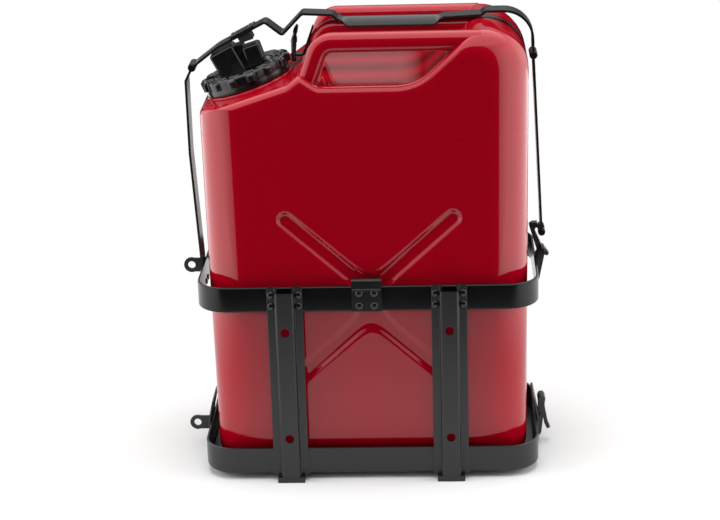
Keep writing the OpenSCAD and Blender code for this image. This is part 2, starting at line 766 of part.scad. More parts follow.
// Pad and its plate, riveted through the strap
module pad_rivet(i) {
    at = pad_mid + i * strap_slope * pad_rivet_out;
    translate([at[0], 0, at[1]]) rotate([0, -atan2(strap_slope[1], strap_slope[0]), 0]) children();
}
module pad_rivet_holes() {
    for (i = [-1, 1])
        pad_rivet(i) cylinder(r = rivet_r + pin_clear, h = 4 * strap_t, center = true);
}
module along_strap(from, to, near, far) {
    side = left_of(strap_slope);
    front_plate(1 - strap_w / 2, strap_w / 2 - 1)
        polygon([pad_mid + from * strap_slope + near * side, pad_mid + to * strap_slope + near * side,
            pad_mid + to * strap_slope + far * side, pad_mid + from * strap_slope + far * side]);
}
module strap_plate() {
    color("dimgray") difference() {
        along_strap(-plate_len / 2, plate_len / 2, strap_t / 2, strap_t / 2 + plate_t);
        pad_rivet_holes();
    }
}
grip_top = neck_at + left_of(slope_dir) * (disc_z + disc_t + grip_h);
module strap_pad() {
    side = left_of(-strap_slope);
    upper = [for (s = [-0.5, 0.5]) pad_mid + s * pad_len * strap_slope + side * strap_t / 2];
    lower = [for (p = upper) meet(p, side, grip_top + clear * left_of(slope_dir), slope_dir)];
    color("black") front_plate(2 - strap_w / 2, strap_w / 2 - 2)
        polygon([upper[0], lower[0], lower[1], upper[1]]);
}
module pad_rivets() {
    grip = strap_t + plate_t;
    color("gray") for (i = [-1, 1])
        pad_rivet(i) translate([0, 0, grip - strap_t / 2]) rotate([-90, 0, 0]) rivet(grip);
}

// Right link: hangs from the strap and ends in a fork with a bolt across it
module right_link() {
    down = unit(link_bolt_at - right_hinge);
    neck = right_hinge + down * 2 * knuckle_r;
    heel = link_bolt_at + down * 2 * bolt_r;
    slot_top = link_bolt_at - down * fork_len;
    color("dimgray") difference() {
        union() {
            difference() {
                front_plate(-strap_w / 2, strap_w / 2) {
                    polygon(strip([right_hinge, heel], strap_t));
                    translate(link_bolt_at) circle(2 * bolt_r);
                }
                front_plate(-strap_w, strap_w) translate(right_hinge) circle(knuckle_r + 3 * clear);
            }
            front_plate(-hook_t / 2, hook_t / 2) {
                translate(right_hinge) circle(knuckle_r);
                polygon(strip([right_hinge, neck], strap_t));
            }
        }
        front_plate(-fork_w / 2, fork_w / 2)
            polygon(strip([slot_top, link_bolt_at + down * 4 * bolt_r], 8 * bolt_r));
        pin_bore(right_hinge);
        pin_y(link_bolt_at, -strap_w, strap_w, bolt_r + pin_clear);
    }
}
module link_bolt() {
    head_h = 2.5;
    color("gray") {
        pin_y(link_bolt_at, -strap_w / 2, strap_w / 2, bolt_r);
        pin_y(link_bolt_at, -strap_w / 2 - head_h, -strap_w / 2, 1.8 * bolt_r);
        pin_y(link_bolt_at, strap_w / 2, strap_w / 2 + head_h, 1.8 * bolt_r);
    }
}

// Pivot brackets on the right side: a back plate and two ears round a pin
ear_t = 2.5;
module pivot_bracket(at, back_x, z0, z1, w) {
    ear_r = 2 * pin_r - 0.6;
    gap = hook_t / 2 + clear;
    front_plate(-w / 2, w / 2) translate([back_x, z0]) square([sheet_t, z1 - z0]);
    for (side = [-1, 1])
        front_plate(side > 0 ? gap : -gap - ear_t, side > 0 ? gap + ear_t : -gap) difference() {
            union() {
                polygon([[back_x, z0], [back_x + sheet_t + 1, z0], at + [ear_r, 0],
                    [max(at[0] - ear_r, back_x), at[1]], [back_x, z1]]);
                translate(at) circle(ear_r);
            }
            translate(at) circle(pin_r + pin_clear);
        }
}
module pivot_pin(at) {
    reach = hook_t / 2 + clear + ear_t;
    head_h = 1.8;
    color("gray") {
        pin_y(at, -reach, reach, pin_r);
        pin_y(at, -reach - head_h, -reach, pin_r + 1.5);
        pin_y(at, reach, reach + head_h, pin_r + 1.5);
    }
}
module latch_bracket() {
    color("dimgray") pivot_bracket(latch_pivot, carrier_hw, band_z + 2, band_top - 0.5, 30);
}
module latch_pin() {
    pivot_pin(latch_pivot);
}

// Latch hook: its nose stands just short of the bolt and swings over it
module latch_hook() {
    bolt_far = hook_reach + bolt_r + 2 * clear;
    nose_far = bolt_far + 5.5;
    root = 4.6;
    tail = 9.2;
    outline = [[root, -95], [nose_far, -25], [nose_far + 1, -17], [nose_far, -8], [bolt_far, -8],
        [bolt_far, -13], [bolt_far - 2, -17.5], [root, 10], [root, 70], [tail, 115], [tail, 135],
        [root, 180]];
    color("black") difference() {
        union() {
            pin_y(latch_pivot, -hook_t / 2, hook_t / 2, 2 * pin_r - 0.4);
            front_plate(-hook_t / 2, hook_t / 2)
                polygon([for (p = outline) polar(latch_pivot, p[0], p[1])]);
        }
        pin_bore(latch_pivot);
    }
}

// Tie hook: a tongue that hangs from the right tray guide
module hook_bracket() {
    color("dimgray") pivot_bracket(hook_pivot, carrier_hw + sheet_t, foot_h + 6, tray_top - 1, 24);
}
module hook_pin() {
    pivot_pin(hook_pivot);
}
module tray_hook() {
    tip = polar(hook_pivot, tongue_len, 180 - tongue_lean);
    path = [hook_pivot, polar(hook_pivot, tongue_len - 8, 180 - tongue_lean), tip + [1.6, 0.6]];
    color("black") front_plate(-hook_t / 2, hook_t / 2) difference() {
        union() {
            translate(hook_pivot) circle(2 * pin_r - 0.4);
            polygon(strip(path, 4));
        }
        translate(hook_pivot) circle(pin_r + pin_clear);
    }
}

front_shell();
rear_shell();
front_handle();
middle_handle();
rear_handle();
filler_neck();
cap_gasket();
cap_insert();
cap_ring();
cap_tether();
tray();
band();
band_joint_plate();
band_joint_rivets();
left_upright();
right_upright();
upright_rivets();
left_foot();
right_foot();
left_tray_guide();
right_tray_guide();
band_eye();
tray_eye();
left_stay();
stay_rivets();
left_hinge_pin();
top_strap();
strap_plate();
strap_pad();
pad_rivets();
right_hinge_pin();
right_link();
link_bolt();
latch_bracket();
latch_pin();
latch_hook();
hook_bracket();
hook_pin();
tray_hook();
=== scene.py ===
import math
import random
from contextlib import contextmanager

import bmesh
import bpy
import numpy as np
from mathutils import Matrix, Vector
from mathutils.geometry import delaunay_2d_cdt


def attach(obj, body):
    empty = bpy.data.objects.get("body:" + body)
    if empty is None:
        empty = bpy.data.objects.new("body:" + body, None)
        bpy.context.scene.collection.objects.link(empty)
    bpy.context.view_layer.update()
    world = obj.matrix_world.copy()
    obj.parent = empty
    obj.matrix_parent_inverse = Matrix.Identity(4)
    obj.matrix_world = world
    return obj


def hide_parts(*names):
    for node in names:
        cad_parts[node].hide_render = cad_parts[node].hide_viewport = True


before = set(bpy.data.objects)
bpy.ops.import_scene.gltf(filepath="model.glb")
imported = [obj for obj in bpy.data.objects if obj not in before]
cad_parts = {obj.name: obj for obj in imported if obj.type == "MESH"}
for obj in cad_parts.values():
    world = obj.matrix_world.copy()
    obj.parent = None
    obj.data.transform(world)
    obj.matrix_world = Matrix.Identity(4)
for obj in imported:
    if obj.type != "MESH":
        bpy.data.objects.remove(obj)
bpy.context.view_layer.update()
MM = 0.001
TINY = 0.001
SAME_POINT = 1e-6

# Bodies and finishes that the pieces name
ROOT = "can_and_carrier"
RED = "can_paint"
COAT = "carrier_coat"
PLASTIC = "cap_plastic"
RUBBER = "rubber"
STEEL = "fastener_steel"

# Sizes of the can, in millimetres, as in the part's source
FLOOR_Z = 8.5
TOP_Z = 477.5
HALF_BASE = 166.5
HALF_TOP = 169.5
HALF_DEPTH = 83.5
WALL = 1.0
SLOPE_TILT = math.radians(18)
SLOPE_RUN = 92
SLOPE_DIR = np.array([math.cos(SLOPE_TILT), math.sin(SLOPE_TILT)])
SLOPE_START = np.array([-168.982, 396.5])
SLOPE_END = SLOPE_START + SLOPE_RUN * np.array([1, math.tan(SLOPE_TILT)])
PEAK_STEP = np.array([14.4, 10.6])
PEAK = SLOPE_END + PEAK_STEP
DECK_DROP = 52.5
DECK_STEP = 18
DECK_END_TILT = math.radians(42)
SHOULDER_RUN = 57
DECK_Z = TOP_Z - DECK_DROP
DECK_LEFT = np.array([PEAK[0] + DECK_STEP, DECK_Z])
SHOULDER = np.array([HALF_TOP - SHOULDER_RUN, TOP_Z])
DECK_RIGHT = np.array([SHOULDER[0] - DECK_DROP / math.tan(DECK_END_TILT), DECK_Z])

# The can's outline from its lower left: points, radii of corners, of those on the flat face, and of edges
CAN_POINTS = [
    np.array([-HALF_BASE, FLOOR_Z]), np.array([HALF_BASE, FLOOR_Z]), np.array([HALF_TOP, TOP_Z]),
    SHOULDER, DECK_RIGHT, DECK_LEFT, PEAK, SLOPE_END, SLOPE_START,
]
CORNER_R = [16, 16, 46, 25, 52, 12, 6, 12, 10]
FACE_CORNER_R = {0: 24, 1: 24, 2: 42, 3: 44}
SIDE_EDGE_R = 45
EDGE_R = [36, SIDE_EDGE_R, 22, 8, 8, 8, 8, 8, SIDE_EDGE_R]
CORNER_STEPS = 10
EDGE_STEPS = 18

# The seam, as places along Y and shares of its depth, and the crease above
SEAM_SINK = 0.15
SEAM_EDGES = (0, 1, 2, 8)
SEAM_FORM = ((-9.5, 0), (-8.2, 0.02), (-7, 0.16), (-6, 0.5), (-5, 0.84), (-3.8, 0.98), (-2.5, 1), (-0.05, 1))
CREASE_Z = 371.0
CREASE_ROWS = tuple(CREASE_Z + d for d in (-2.6, -1.1, 0, 1.1, 2.6))
CREASE_RISE = 0.22
CREASE_FAINT = 0.2
CREASE_RIGHT, CREASE_RIGHT_FADE = 55, 45
CREASE_LEFT, CREASE_LEFT_FADE = 120, 12
CREASE_NEAR = 0.2
CREASE_BACK = -9
WALL_ROWS = (84, 120, 170, 230, 290, 340) + CREASE_ROWS
SIDE_ROWS = {1: WALL_ROWS + (395, 420), 8: WALL_ROWS + (380,)}

# The pressed cross, and the rows and grids of points on the flat face
CROSS_MID = np.array([4.0, FLOOR_Z + 187.5])
CROSS_HUB = 13.0
CROSS_REACH = 86.0
CROSS_SLANT = math.tan(math.radians(42))
CROSS_DEPTH = 2.85
CROSS_HALF_W = 10.7
CROSS_FLAT = 4.2
CROSS_ROWS = (0.0, 2.4, 4.2, 5.2, 6.1, 6.8, 7.45, 8.1, 8.8, 9.7, 10.7, 12.2)
CROSS_STEP = 2.2
CROSS_END_STEPS = 12
CROSS_CLEAR = 13
HUB_BOX = np.array([40.0, 54.0])
HUB_SOFT = 5.0
HUB_FADE = 0.25
HUB_STEP = 1.3
HUB_REACH = 20
FACE_STEP, FACE_MARGIN = 9.0, 4
CREASE_STEP, CREASE_MARGIN, CREASE_CLEAR = 8.0, 3, 6

# Filler
NECK_ALONG = 52
NECK = SLOPE_START + NECK_ALONG * SLOPE_DIR
NECK_HOLE_R = 34.15
NECK_DRILL = 60
TURN_STEPS = 96

# Handles
HANDLE = 20.0
HANDLE_EDGE_R = 8.5
HANDLE_BEND_R = 0.9 * HANDLE
HANDLE_ROWS = {"front_handle": -65.0, "middle_handle": 0.0, "rear_handle": 65.0}
POST_LEAN = math.radians(20)
POST_DIR = np.array([math.sin(POST_LEAN), math.cos(POST_LEAN)])
POST_FOOT = PEAK + np.array([HANDLE / 2 / math.cos(POST_LEAN), 0])
POST_SUNK = 9
RAIL_Z = TOP_Z - HANDLE / 2
RAIL_SUNK = 8

# Sizes of the carrier
CARRIER_HALF_W, CARRIER_HALF_D, CARRIER_R = 178.4, 94.0, 33.0
SHEET = 2.5
TRAY_LOW, TRAY_TOP = 6.0, 36.0
TRAY_BEND = 4.0
TRAY_RIM = [(0, 0.7), (0.2, 0.2), (0.7, 0)]
BAND_LOW, BAND_TOP = 190.0, 217.5
BAND_FRONT, BAND_BACK = -CARRIER_HALF_D - SHEET, -CARRIER_HALF_D + SHEET
BAND_EDGE_R = 2.1
BAND_INNER_EASE = 0.3
UPRIGHT_X = 85.0
UPRIGHT_TOP = 219.0
UPRIGHT_HALF_W = 18.5
RIB_HALF_W, RIB_DEPTH = 10.0, 10.0
RIB_TOP = 213.5
RIB_FRONT = -CARRIER_HALF_D - RIB_DEPTH
HOLE_R = 4.5
HOLE_Z = (51.0, 171.0)


# Shader and geometry trees

def math_step(operation, swapped=False):
    """A method of Value that adds one Math node."""
    def step(value, other=0.0):
        first, second = (other, value) if swapped else (value, other)
        return value.tree.node("ShaderNodeMath", {"operation": operation}, {0: first, 1: second})
    return step


class Value:
    """A socket that adds Math nodes when it is used in sums."""

    def __init__(self, tree, socket):
        self.tree = tree
        self.socket = socket

    __add__ = math_step("ADD")
    __radd__ = math_step("ADD", True)
    __sub__ = math_step("SUBTRACT")
    __rsub__ = math_step("SUBTRACT", True)
    __mul__ = math_step("MULTIPLY")
    __rmul__ = math_step("MULTIPLY", True)
    __truediv__ = math_step("DIVIDE")
    __lt__ = math_step("LESS_THAN")
    __pow__ = math_step("POWER")
    __abs__ = math_step("ABSOLUTE")
    larger = math_step("MAXIMUM")


class Tree:
    """A node tree that is filled one node at a time."""

    def __init__(self, tree):
        self.tree = tree
        self.tree.nodes.clear()

    def node(self, kind, settings=None, sockets=None, out=0):
        made = self.tree.nodes.new(kind)
        for name, value in (settings or {}).items():
            setattr(made, name, value)
        for key, value in (sockets or {}).items():
            if isinstance(value, Value):
                self.tree.links.new(value.socket, made.inputs[key])
            else:
                made.inputs[key].default_value = value
        return Value(self, made.outputs[out]) if made.outputs else made

    def outs(self, value):
        """All outputs of the node that a value comes from."""
        return [Value(self, socket) for socket in value.socket.node.outputs]

    def place(self):
        return self.node("ShaderNodeTexCoord", out="Object")

    def ramp(self, value, *stops):
        made = self.node("ShaderNodeValToRGB", None, {"Fac": value})
        for element, (place, grey) in zip(made.socket.node.color_ramp.elements, stops):
            element.position = place
            element.color = (grey, grey, grey, 1)
        return made

    def noise(self, place, scale, detail, rough=0.5):
        return self.node("ShaderNodeTexNoise", None,
                         {"Vector": place, "Scale": scale, "Detail": detail, "Roughness": rough})

    def smooth(self, value, low, high):
        return self.node("ShaderNodeMapRange", {"interpolation_type": "SMOOTHSTEP"},
                         {"Value": value, "From Min": low, "From Max": high})

    def tint(self, factor, low, high):
        return self.node("ShaderNodeMix", {"data_type": "RGBA"},
                         {"Factor": factor, "A": (*low, 1), "B": (*high, 1)}, out=2)


def new_finish(name):
    material = bpy.data.materials.new(name)
    material.use_nodes = True
    return material, Tree(material.node_tree)


def surface(t, colour, rough, grain, distance, strength, ior=1.5):
    """Ends a finish with its colour, roughness and bumps."""
    bumps = t.node("ShaderNodeBump", None, {"Strength": strength, "Distance": distance, "Height": grain})
    shader = t.node("ShaderNodeBsdfPrincipled", None,
                    {"Base Color": colour, "Roughness": rough, "Normal": bumps, "IOR": ior})
    t.node("ShaderNodeOutputMaterial", None, {"Surface": shader})


def red_enamel():
    """Glossy red paint with a faint orange peel and a soft drift of colour."""
    material, t = new_finish("red_enamel")
    place = t.place()
    drift = t.noise(place, scale=9, detail=2)
    peel = t.noise(place, scale=420, detail=2)
    dust = t.noise(place, scale=60, detail=5, rough=0.65)
    colour = t.tint(drift, low=(0.250, 0.0003, 0.0066), high=(0.284, 0.0005, 0.0082))
    rough = 0.055 + 0.05 * t.ramp(dust, (0.45, 0.0), (0.75, 1.0))
    surface(t, colour, rough, peel, distance=0.00002, strength=0.35)
    return material


def black_coat(name, low, high, rough, grain, ior=1.5):
    """Satin powder coat with a fine grain and an uneven sheen."""
    material, t = new_finish(name)
    place = t.place()
    patches = t.noise(place, scale=14, detail=4, rough=0.6)
    texture = t.noise(place, scale=grain, detail=3, rough=0.6)
    colour = t.tint(patches, (low, low, low * 1.02), (high, high, high * 1.04))
    sheen = rough * (1 + 0.4 * (patches - 0.5) + 0.2 * (texture - 0.5))
    surface(t, colour, sheen, texture, distance=0.00008, strength=0.5, ior=ior)
    return material


def moulded_plastic():
    """Black moulded plastic with a fine spark texture and scuffed high spots."""
    material, t = new_finish("moulded_plastic")
    place = t.place()
    spark = t.noise(place, scale=900, detail=2)
    scuff = t.noise(place, scale=45, detail=6, rough=0.7)
    mask = t.ramp(scuff, (0.5, 0.0), (0.72, 1.0))
    colour = t.tint(mask, low=(0.0052, 0.0054, 0.0056), high=(0.0100, 0.0103, 0.0103))
    surface(t, colour, 0.2 + 0.13 * mask, spark, distance=0.00006, strength=0.4)
    return material


def soft_rubber():
    """Dull black rubber with a pale bloom."""
    material, t = new_finish("soft_rubber")
    bloom = t.noise(t.place(), scale=120, detail=4, rough=0.6)
    colour = t.tint(bloom, low=(0.006, 0.006, 0.006), high=(0.013, 0.013, 0.0125))
    surface(t, colour, 0.62 + 0.2 * bloom, bloom, distance=0.00005, strength=0.5)
    return material


FINISH = {
    RED: red_enamel(),
    COAT: black_coat("carrier_powder_coat", low=0.0065, high=0.0095, rough=0.3, grain=700),
    PLASTIC: moulded_plastic(),
    RUBBER: soft_rubber(),
    STEEL: black_coat("coated_rivet", low=0.004, high=0.007, rough=0.13, grain=1100),
}
STRAP_FINISH = black_coat("strap_coat", low=0.0048, high=0.0075, rough=0.27, grain=650)
BAND_FINISH = black_coat("band_coat", low=0.0032, high=0.0044, rough=0.13, grain=500, ior=1.36)
JOINT_FINISH = black_coat("joint_coat", low=0.0055, high=0.0075, rough=0.2, grain=500, ior=1.42)


# Plane geometry, in millimetres, in the front view

FILLET_ROOM = 0.98


def clamp(t):
    return max(0.0, min(1.0, t))


def soft_step(t):
    return t * t * (3 - 2 * t)


def turns(sweep, steps):
    return [sweep * k / steps for k in range(steps + 1)]


def unit(v):
    return v / np.linalg.norm(v)


def left_of(v):
    return np.array([-v[1], v[0]])


def cross2(a, b):
    return a[0] * b[1] - a[1] * b[0]


def meet(p, u, q, v):
    """Where the line through p along u meets the line through q along v."""
    return p + u * cross2(q - p, v) / cross2(u, v)


def half_angle(a, b, c):
    return math.acos(np.clip(unit(a - b) @ unit(c - b), -1, 1)) / 2


def fillet_reaches(points, radii):
    """How far each corner's arc reaches along its edges, less where an edge is short."""
    n = len(points)
    want = [radii[i] / math.tan(half_angle(points[i - 1], points[i], points[(i + 1) % n])) for i in range(n)]
    room = [min(1, FILLET_ROOM * np.linalg.norm(points[(i + 1) % n] - points[i])
                / max(TINY, want[i] + want[(i + 1) % n])) for i in range(n)]
    return [want[i] * min(room[i], room[i - 1]) for i in range(n)]


def fillet(a, b, c, reach, steps):
    """The arc that rounds the corner b between a and c."""
    u, v = unit(a - b), unit(c - b)
    half = half_angle(a, b, c)
    centre = b + unit(u + v) * reach / math.cos(half)
    spoke = b + u * reach - centre
    sweep = (math.pi - 2 * half) * math.copysign(1, cross2(b - a, c - b))
    return [centre + np.array([spoke[0] * math.cos(t) - spoke[1] * math.sin(t),
                               spoke[0] * math.sin(t) + spoke[1] * math.cos(t)]) for t in turns(sweep, steps)]


def corner_arcs(points, radii, steps):
    """The arcs of a closed outline's corners."""
    reach = fillet_reaches(points, radii)
    n = len(points)
    return [fillet(points[i - 1], points[i], points[(i + 1) % n], reach[i], steps) for i in range(n)]


def round_path(points, radii, steps=12):
    """An open path with rounded corners. A radius of 0 keeps the point."""
    reach = fillet_reaches(points, [max(r, TINY) for r in radii])
    made = []
    for i, p in enumerate(points):
        if radii[i] == 0:
            made.append(p)
        else:
            made += fillet(points[i - 1], p, points[i + 1], reach[i], steps)
    return made


def inset(points, depths):
    """A closed outline with each edge moved inwards by its own depth."""
    n = len(points)
    ways = [unit(points[(i + 1) % n] - points[i]) for i in range(n)]
    return [meet(points[i] + depths[i - 1] * left_of(ways[i - 1]), ways[i - 1],
                 points[i] + depths[i] * left_of(ways[i]), ways[i]) for i in range(n)]


# Meshes

SMOOTH_ANGLE = 35
MERGE_REACH = 0.004
MERGE_ANGLE = math.radians(0.6)


def placed(name, data):
    """A new object in the scene."""
    made = bpy.data.objects.new(name, data)
    bpy.context.scene.collection.objects.link(made)
    return made


def new_piece(name, verts, faces, finish, smooth_angle=SMOOTH_ANGLE):
    """A piece from points in millimetres."""
    mesh = bpy.data.meshes.new(name)
    mesh.from_pydata([tuple(float(c) * MM for c in v) for v in verts], [], faces)
    mesh.materials.append(finish)
    piece = placed(name, mesh)
    shade(mesh, smooth_angle)
    return piece


def shade(mesh, angle=SMOOTH_ANGLE):
    mesh.validate()
    mesh.polygons.foreach_set("use_smooth", [True] * len(mesh.polygons))
    mesh.set_sharp_from_angle(angle=math.radians(angle))
    mesh.update()


@contextmanager
def edited(mesh):
    """A mesh opened for editing and written back after the block."""
    work = bmesh.new()
    work.from_mesh(mesh)
    yield work
    work.to_mesh(mesh)
    work.free()


def set_in(piece):
    """Turns a piece's modifiers into plain mesh."""
    graph = bpy.context.evaluated_depsgraph_get()
    mesh = bpy.data.meshes.new_from_object(piece.evaluated_get(graph))
    piece.modifiers.clear()
    old = piece.data
    mesh.name = old.name
    piece.data = mesh
    bpy.data.meshes.remove(old)
    return piece


def even_normals(piece, smooth_angle):
    """Shades flat faces flat right up to their eased edges."""
    shade(piece.data, smooth_angle)
    piece.modifiers.new("even_normals", "WEIGHTED_NORMAL").keep_sharp = True
    return set_in(piece)


def eased(piece, width, segments=2, angle=30, smooth_angle=50):
    """Rounds a piece's sharp edges by a width in millimetres."""
    bevel = piece.modifiers.new("eased_edges", "BEVEL")
    bevel.width = width * MM
    bevel.segments = segments
    bevel.limit_method = "ANGLE"
    bevel.angle_limit = math.radians(angle)
    bevel.use_clamp_overlap = True
    return even_normals(set_in(piece), smooth_angle)


def carried_over(name, node, finish, width):
    """The CAD node's own shape in whole faces, with its edges eased and a real finish."""
    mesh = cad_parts[node].data.copy()
    with edited(mesh) as work:
        bmesh.ops.remove_doubles(work, verts=work.verts, dist=MERGE_REACH * MM)
        bmesh.ops.dissolve_limit(work, angle_limit=MERGE_ANGLE, verts=work.verts, edges=work.edges)
    mesh.name = name
    mesh.materials.clear()
    mesh.materials.append(finish)
    mesh.polygons.foreach_set("material_index", [0] * len(mesh.polygons))
    return eased(placed(name, mesh), width)


def settle(piece, body, slot, *nodes):
    """Puts a piece on its body and in place of its CAD nodes. The slot is not used."""
    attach(piece, body)
    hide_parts(*nodes)
    return piece


def lofted(rings, ends="filled"):
    """Points and faces of closed rings in a row, whose ends are filled, open or joined."""
    count, rows = len(rings[0]), len(rings)
    faces = []
    for k in range(rows if ends == "joined" else rows - 1):
        q = (k + 1) % rows
        for i in range(count):
            j = (i + 1) % count
            faces.append((k * count + i, q * count + i, q * count + j, k * count + j))
    if ends == "filled":
        faces.append(tuple(reversed(range(count))))
        faces.append(tuple(range((rows - 1) * count, rows * count)))
    return [v for ring in rings for v in ring], faces


def outward(piece):
    """Turns all faces of a closed piece outwards."""
    with edited(piece.data) as work:
        bmesh.ops.recalc_face_normals(work, faces=work.faces)
    return piece


def joined(name, pieces):
    """Joins several pieces into one mesh."""
    work = bmesh.new()
    for piece in pieces:
        work.from_mesh(piece.data)
    mesh = bpy.data.meshes.new(name)
    work.to_mesh(mesh)
    work.free()
    mesh.materials.append(pieces[0].data.materials[0])
    made = placed(name, mesh)
    for piece in pieces:
        bpy.data.objects.remove(piece)
    shade(mesh)
    return made


def cut_away(piece, tool):
    """Cuts a tool's shape out of a piece and removes the tool."""
    cut = piece.modifiers.new("cut", "BOOLEAN")
    cut.operation = "DIFFERENCE"
    cut.solver = "EXACT"
    cut.object = tool
    set_in(piece)
    bpy.data.objects.remove(tool)


def shift(x, y, z):
    return Matrix.Translation((x * MM, y * MM, z * MM))


def drill_hole(piece, radius, depth, where, steps):
    """Cuts a round hole with a drill that a matrix sets in place."""
    bpy.ops.mesh.primitive_cylinder_add(vertices=steps, radius=radius * MM, depth=depth * MM)
    drill = bpy.context.object
    drill.data.transform(where)
    cut_away(piece, drill)


def rounded_rect(half_w, half_h, r, steps):
    corners = [(half_w - r, half_h - r, 0), (r - half_w, half_h - r, 90),
               (r - half_w, r - half_h, 180), (half_w - r, r - half_h, 270)]
    return [(cx + r * math.cos(math.radians(start + a)), cy + r * math.sin(math.radians(start + a)))
            for cx, cy, start in corners for a in turns(90, steps)]


def mitred(path):
    """Each point of a path with the way across it, stretched in bends to keep a bar's width."""
    last = len(path) - 2
    for i, p in enumerate(path):
        u = unit(path[max(i, 1)] - path[max(i, 1) - 1])
        v = unit(path[min(i, last) + 1] - path[min(i, last)])
        m = unit(left_of(u) + left_of(v))
        yield p, m / float(m @ left_of(u))


def swept(name, path, profile, y, finish):
    """A bar along a front-view path. A profile's numbers are across the path and along Y."""
    rings = [[(p[0] + m[0] * a, y + b, p[1] + m[1] * a) for a, b in profile] for p, m in mitred(path)]
    return outward(new_piece(name, *lofted(rings), finish))


# Can

def edge_inset(r, depth):
    """How far an edge of radius r draws in at a depth behind the face."""
    return 0 if depth >= r else r - math.sqrt(2 * r * depth - depth * depth)


def can_ring(depth, sunk=0.0):
    """The can's outline at a depth behind its face, with extra points up its sides."""
    d = [(sunk if i in SEAM_EDGES else 0.0) + edge_inset(r, depth) for i, r in enumerate(EDGE_R)]
    points = inset(CAN_POINTS, d)
    n = len(points)
    radii = []
    for i in range(n):
        bend = cross2(CAN_POINTS[i] - CAN_POINTS[i - 1], CAN_POINTS[(i + 1) % n] - CAN_POINTS[i])
        if i in FACE_CORNER_R:
            share = (d[i - 1] / EDGE_R[i - 1] + d[i] / EDGE_R[i]) / 2
            radii.append(CORNER_R[i] + share * (FACE_CORNER_R[i] - CORNER_R[i]))
        else:
            radii.append(max(1, CORNER_R[i] - math.copysign(1, bend) * (d[i - 1] + d[i]) / 2))
    arcs = corner_arcs(points, radii, CORNER_STEPS)
    ring = []
    for i in range(n):
        ring += arcs[i]
        if i in SIDE_ROWS:
            start, end = arcs[i][-1], arcs[(i + 1) % n][0]
            for z in SIDE_ROWS[i] if end[1] > start[1] else reversed(SIDE_ROWS[i]):
                t = (z - start[1]) / (end[1] - start[1])
                ring.append(start + t * (end - start))
    return ring


CROSS_LINES = [(CROSS_MID - [0, CROSS_HUB], CROSS_MID + [0, CROSS_HUB])]
for up in (-1, 1):
    for side in (-1, 1):
        hub = CROSS_MID + [0, up * CROSS_HUB]
        CROSS_LINES.append((hub, hub + CROSS_REACH * np.array([side, up * CROSS_SLANT])))


def from_line(points, a, b):
    """Distance of each point from the line between a and b."""
    ab = b - a
    t = np.clip(((points - a) @ ab) / max(ab @ ab, SAME_POINT), 0, 1)
    return np.linalg.norm(points - (a + t[:, None] * ab), axis=1)


def from_cross(points, soft=0.0):
    """Distance of each point from the cross's middle lines, with soft corners if asked for."""
    reach = [from_line(points, a, b) for a, b in CROSS_LINES]
    if soft:
        return -soft * np.log(np.sum(np.exp(-np.array(reach) / soft), axis=0))
    return np.min(reach, axis=0)


def from_hub(points):
    """Distance of each point from the cross's middle, as a share of the hub's box."""
    return np.max(np.abs(points - CROSS_MID) / HUB_BOX, axis=1)


def cross_sink(points):
    """Depth of the cross: soft walls, with rounded corners where its arms meet."""
    blend = np.clip((1 + HUB_FADE - from_hub(points)) / HUB_FADE, 0, 1)
    away = from_cross(points) * (1 - blend) + from_cross(points, HUB_SOFT) * blend
    return CROSS_DEPTH * soft_step(np.clip((CROSS_HALF_W - away) / (CROSS_HALF_W - CROSS_FLAT), 0, 1))


def grid(low, high, step):
    xs = np.arange(low[0], high[0], step)
    zs = np.arange(low[1], high[1], step)
    return np.array([(x, z) for x in xs for z in zs])


def inside(points, outline, margin):
    """Which points lie inside an outline, at least a margin from its edges."""
    a = np.array(outline)
    hit = np.zeros(len(points), int)
    near = np.full(len(points), np.inf)
    for p, q in zip(a, np.roll(a, -1, axis=0)):
        crossing = (p[1] > points[:, 1]) != (q[1] > points[:, 1])
        with np.errstate(divide="ignore", invalid="ignore"):
            x = p[0] + (points[:, 1] - p[1]) * (q[0] - p[0]) / (q[1] - p[1])
        hit += crossing & (points[:, 0] < x)
        near = np.minimum(near, from_line(points, p, q))
    return (hit % 2 == 1) & (near > margin)


def cross_points():
    """Points in rows along the cross's arms, and a close grid round its hub."""
    made = []
    for away in CROSS_ROWS:
        for a, b in CROSS_LINES[1:]:
            along, reach = unit(b - a), np.linalg.norm(b - a)
            for t in np.linspace(0, reach, int(reach / CROSS_STEP)):
                for side in (-1, 1) if away else (1,):
                    made.append(a + along * t + left_of(along) * side * away)
            for k in range(1, CROSS_END_STEPS) if away else ():
                turn = math.pi * (k / CROSS_END_STEPS - 0.5)
                made.append(b + away * (along * math.cos(turn) + left_of(along) * math.sin(turn)))
    made = np.array(made)
    made = made[from_hub(made) > 1]
    hub = grid(CROSS_MID - HUB_BOX, CROSS_MID + HUB_BOX, HUB_STEP)
    return np.concatenate([made, hub[from_cross(hub) < HUB_REACH]])


def face_points(outline):
    """Points that fill the flat face, close along the cross and the crease."""
    low, high = np.min(outline, axis=0), np.max(outline, axis=0)
    wide = grid(low, high, FACE_STEP)
    wide = wide[(from_cross(wide) > CROSS_CLEAR) & (np.abs(wide[:, 1] - CREASE_Z) > CREASE_CLEAR)]
    rows = np.array([(x, z) for z in CREASE_ROWS for x in np.arange(low[0], high[0], CREASE_STEP)])
    return np.concatenate([wide[inside(wide, outline, FACE_MARGIN)], cross_points(),
                           rows[inside(rows, outline, CREASE_MARGIN)]])


INSIDE_ONLY = 1


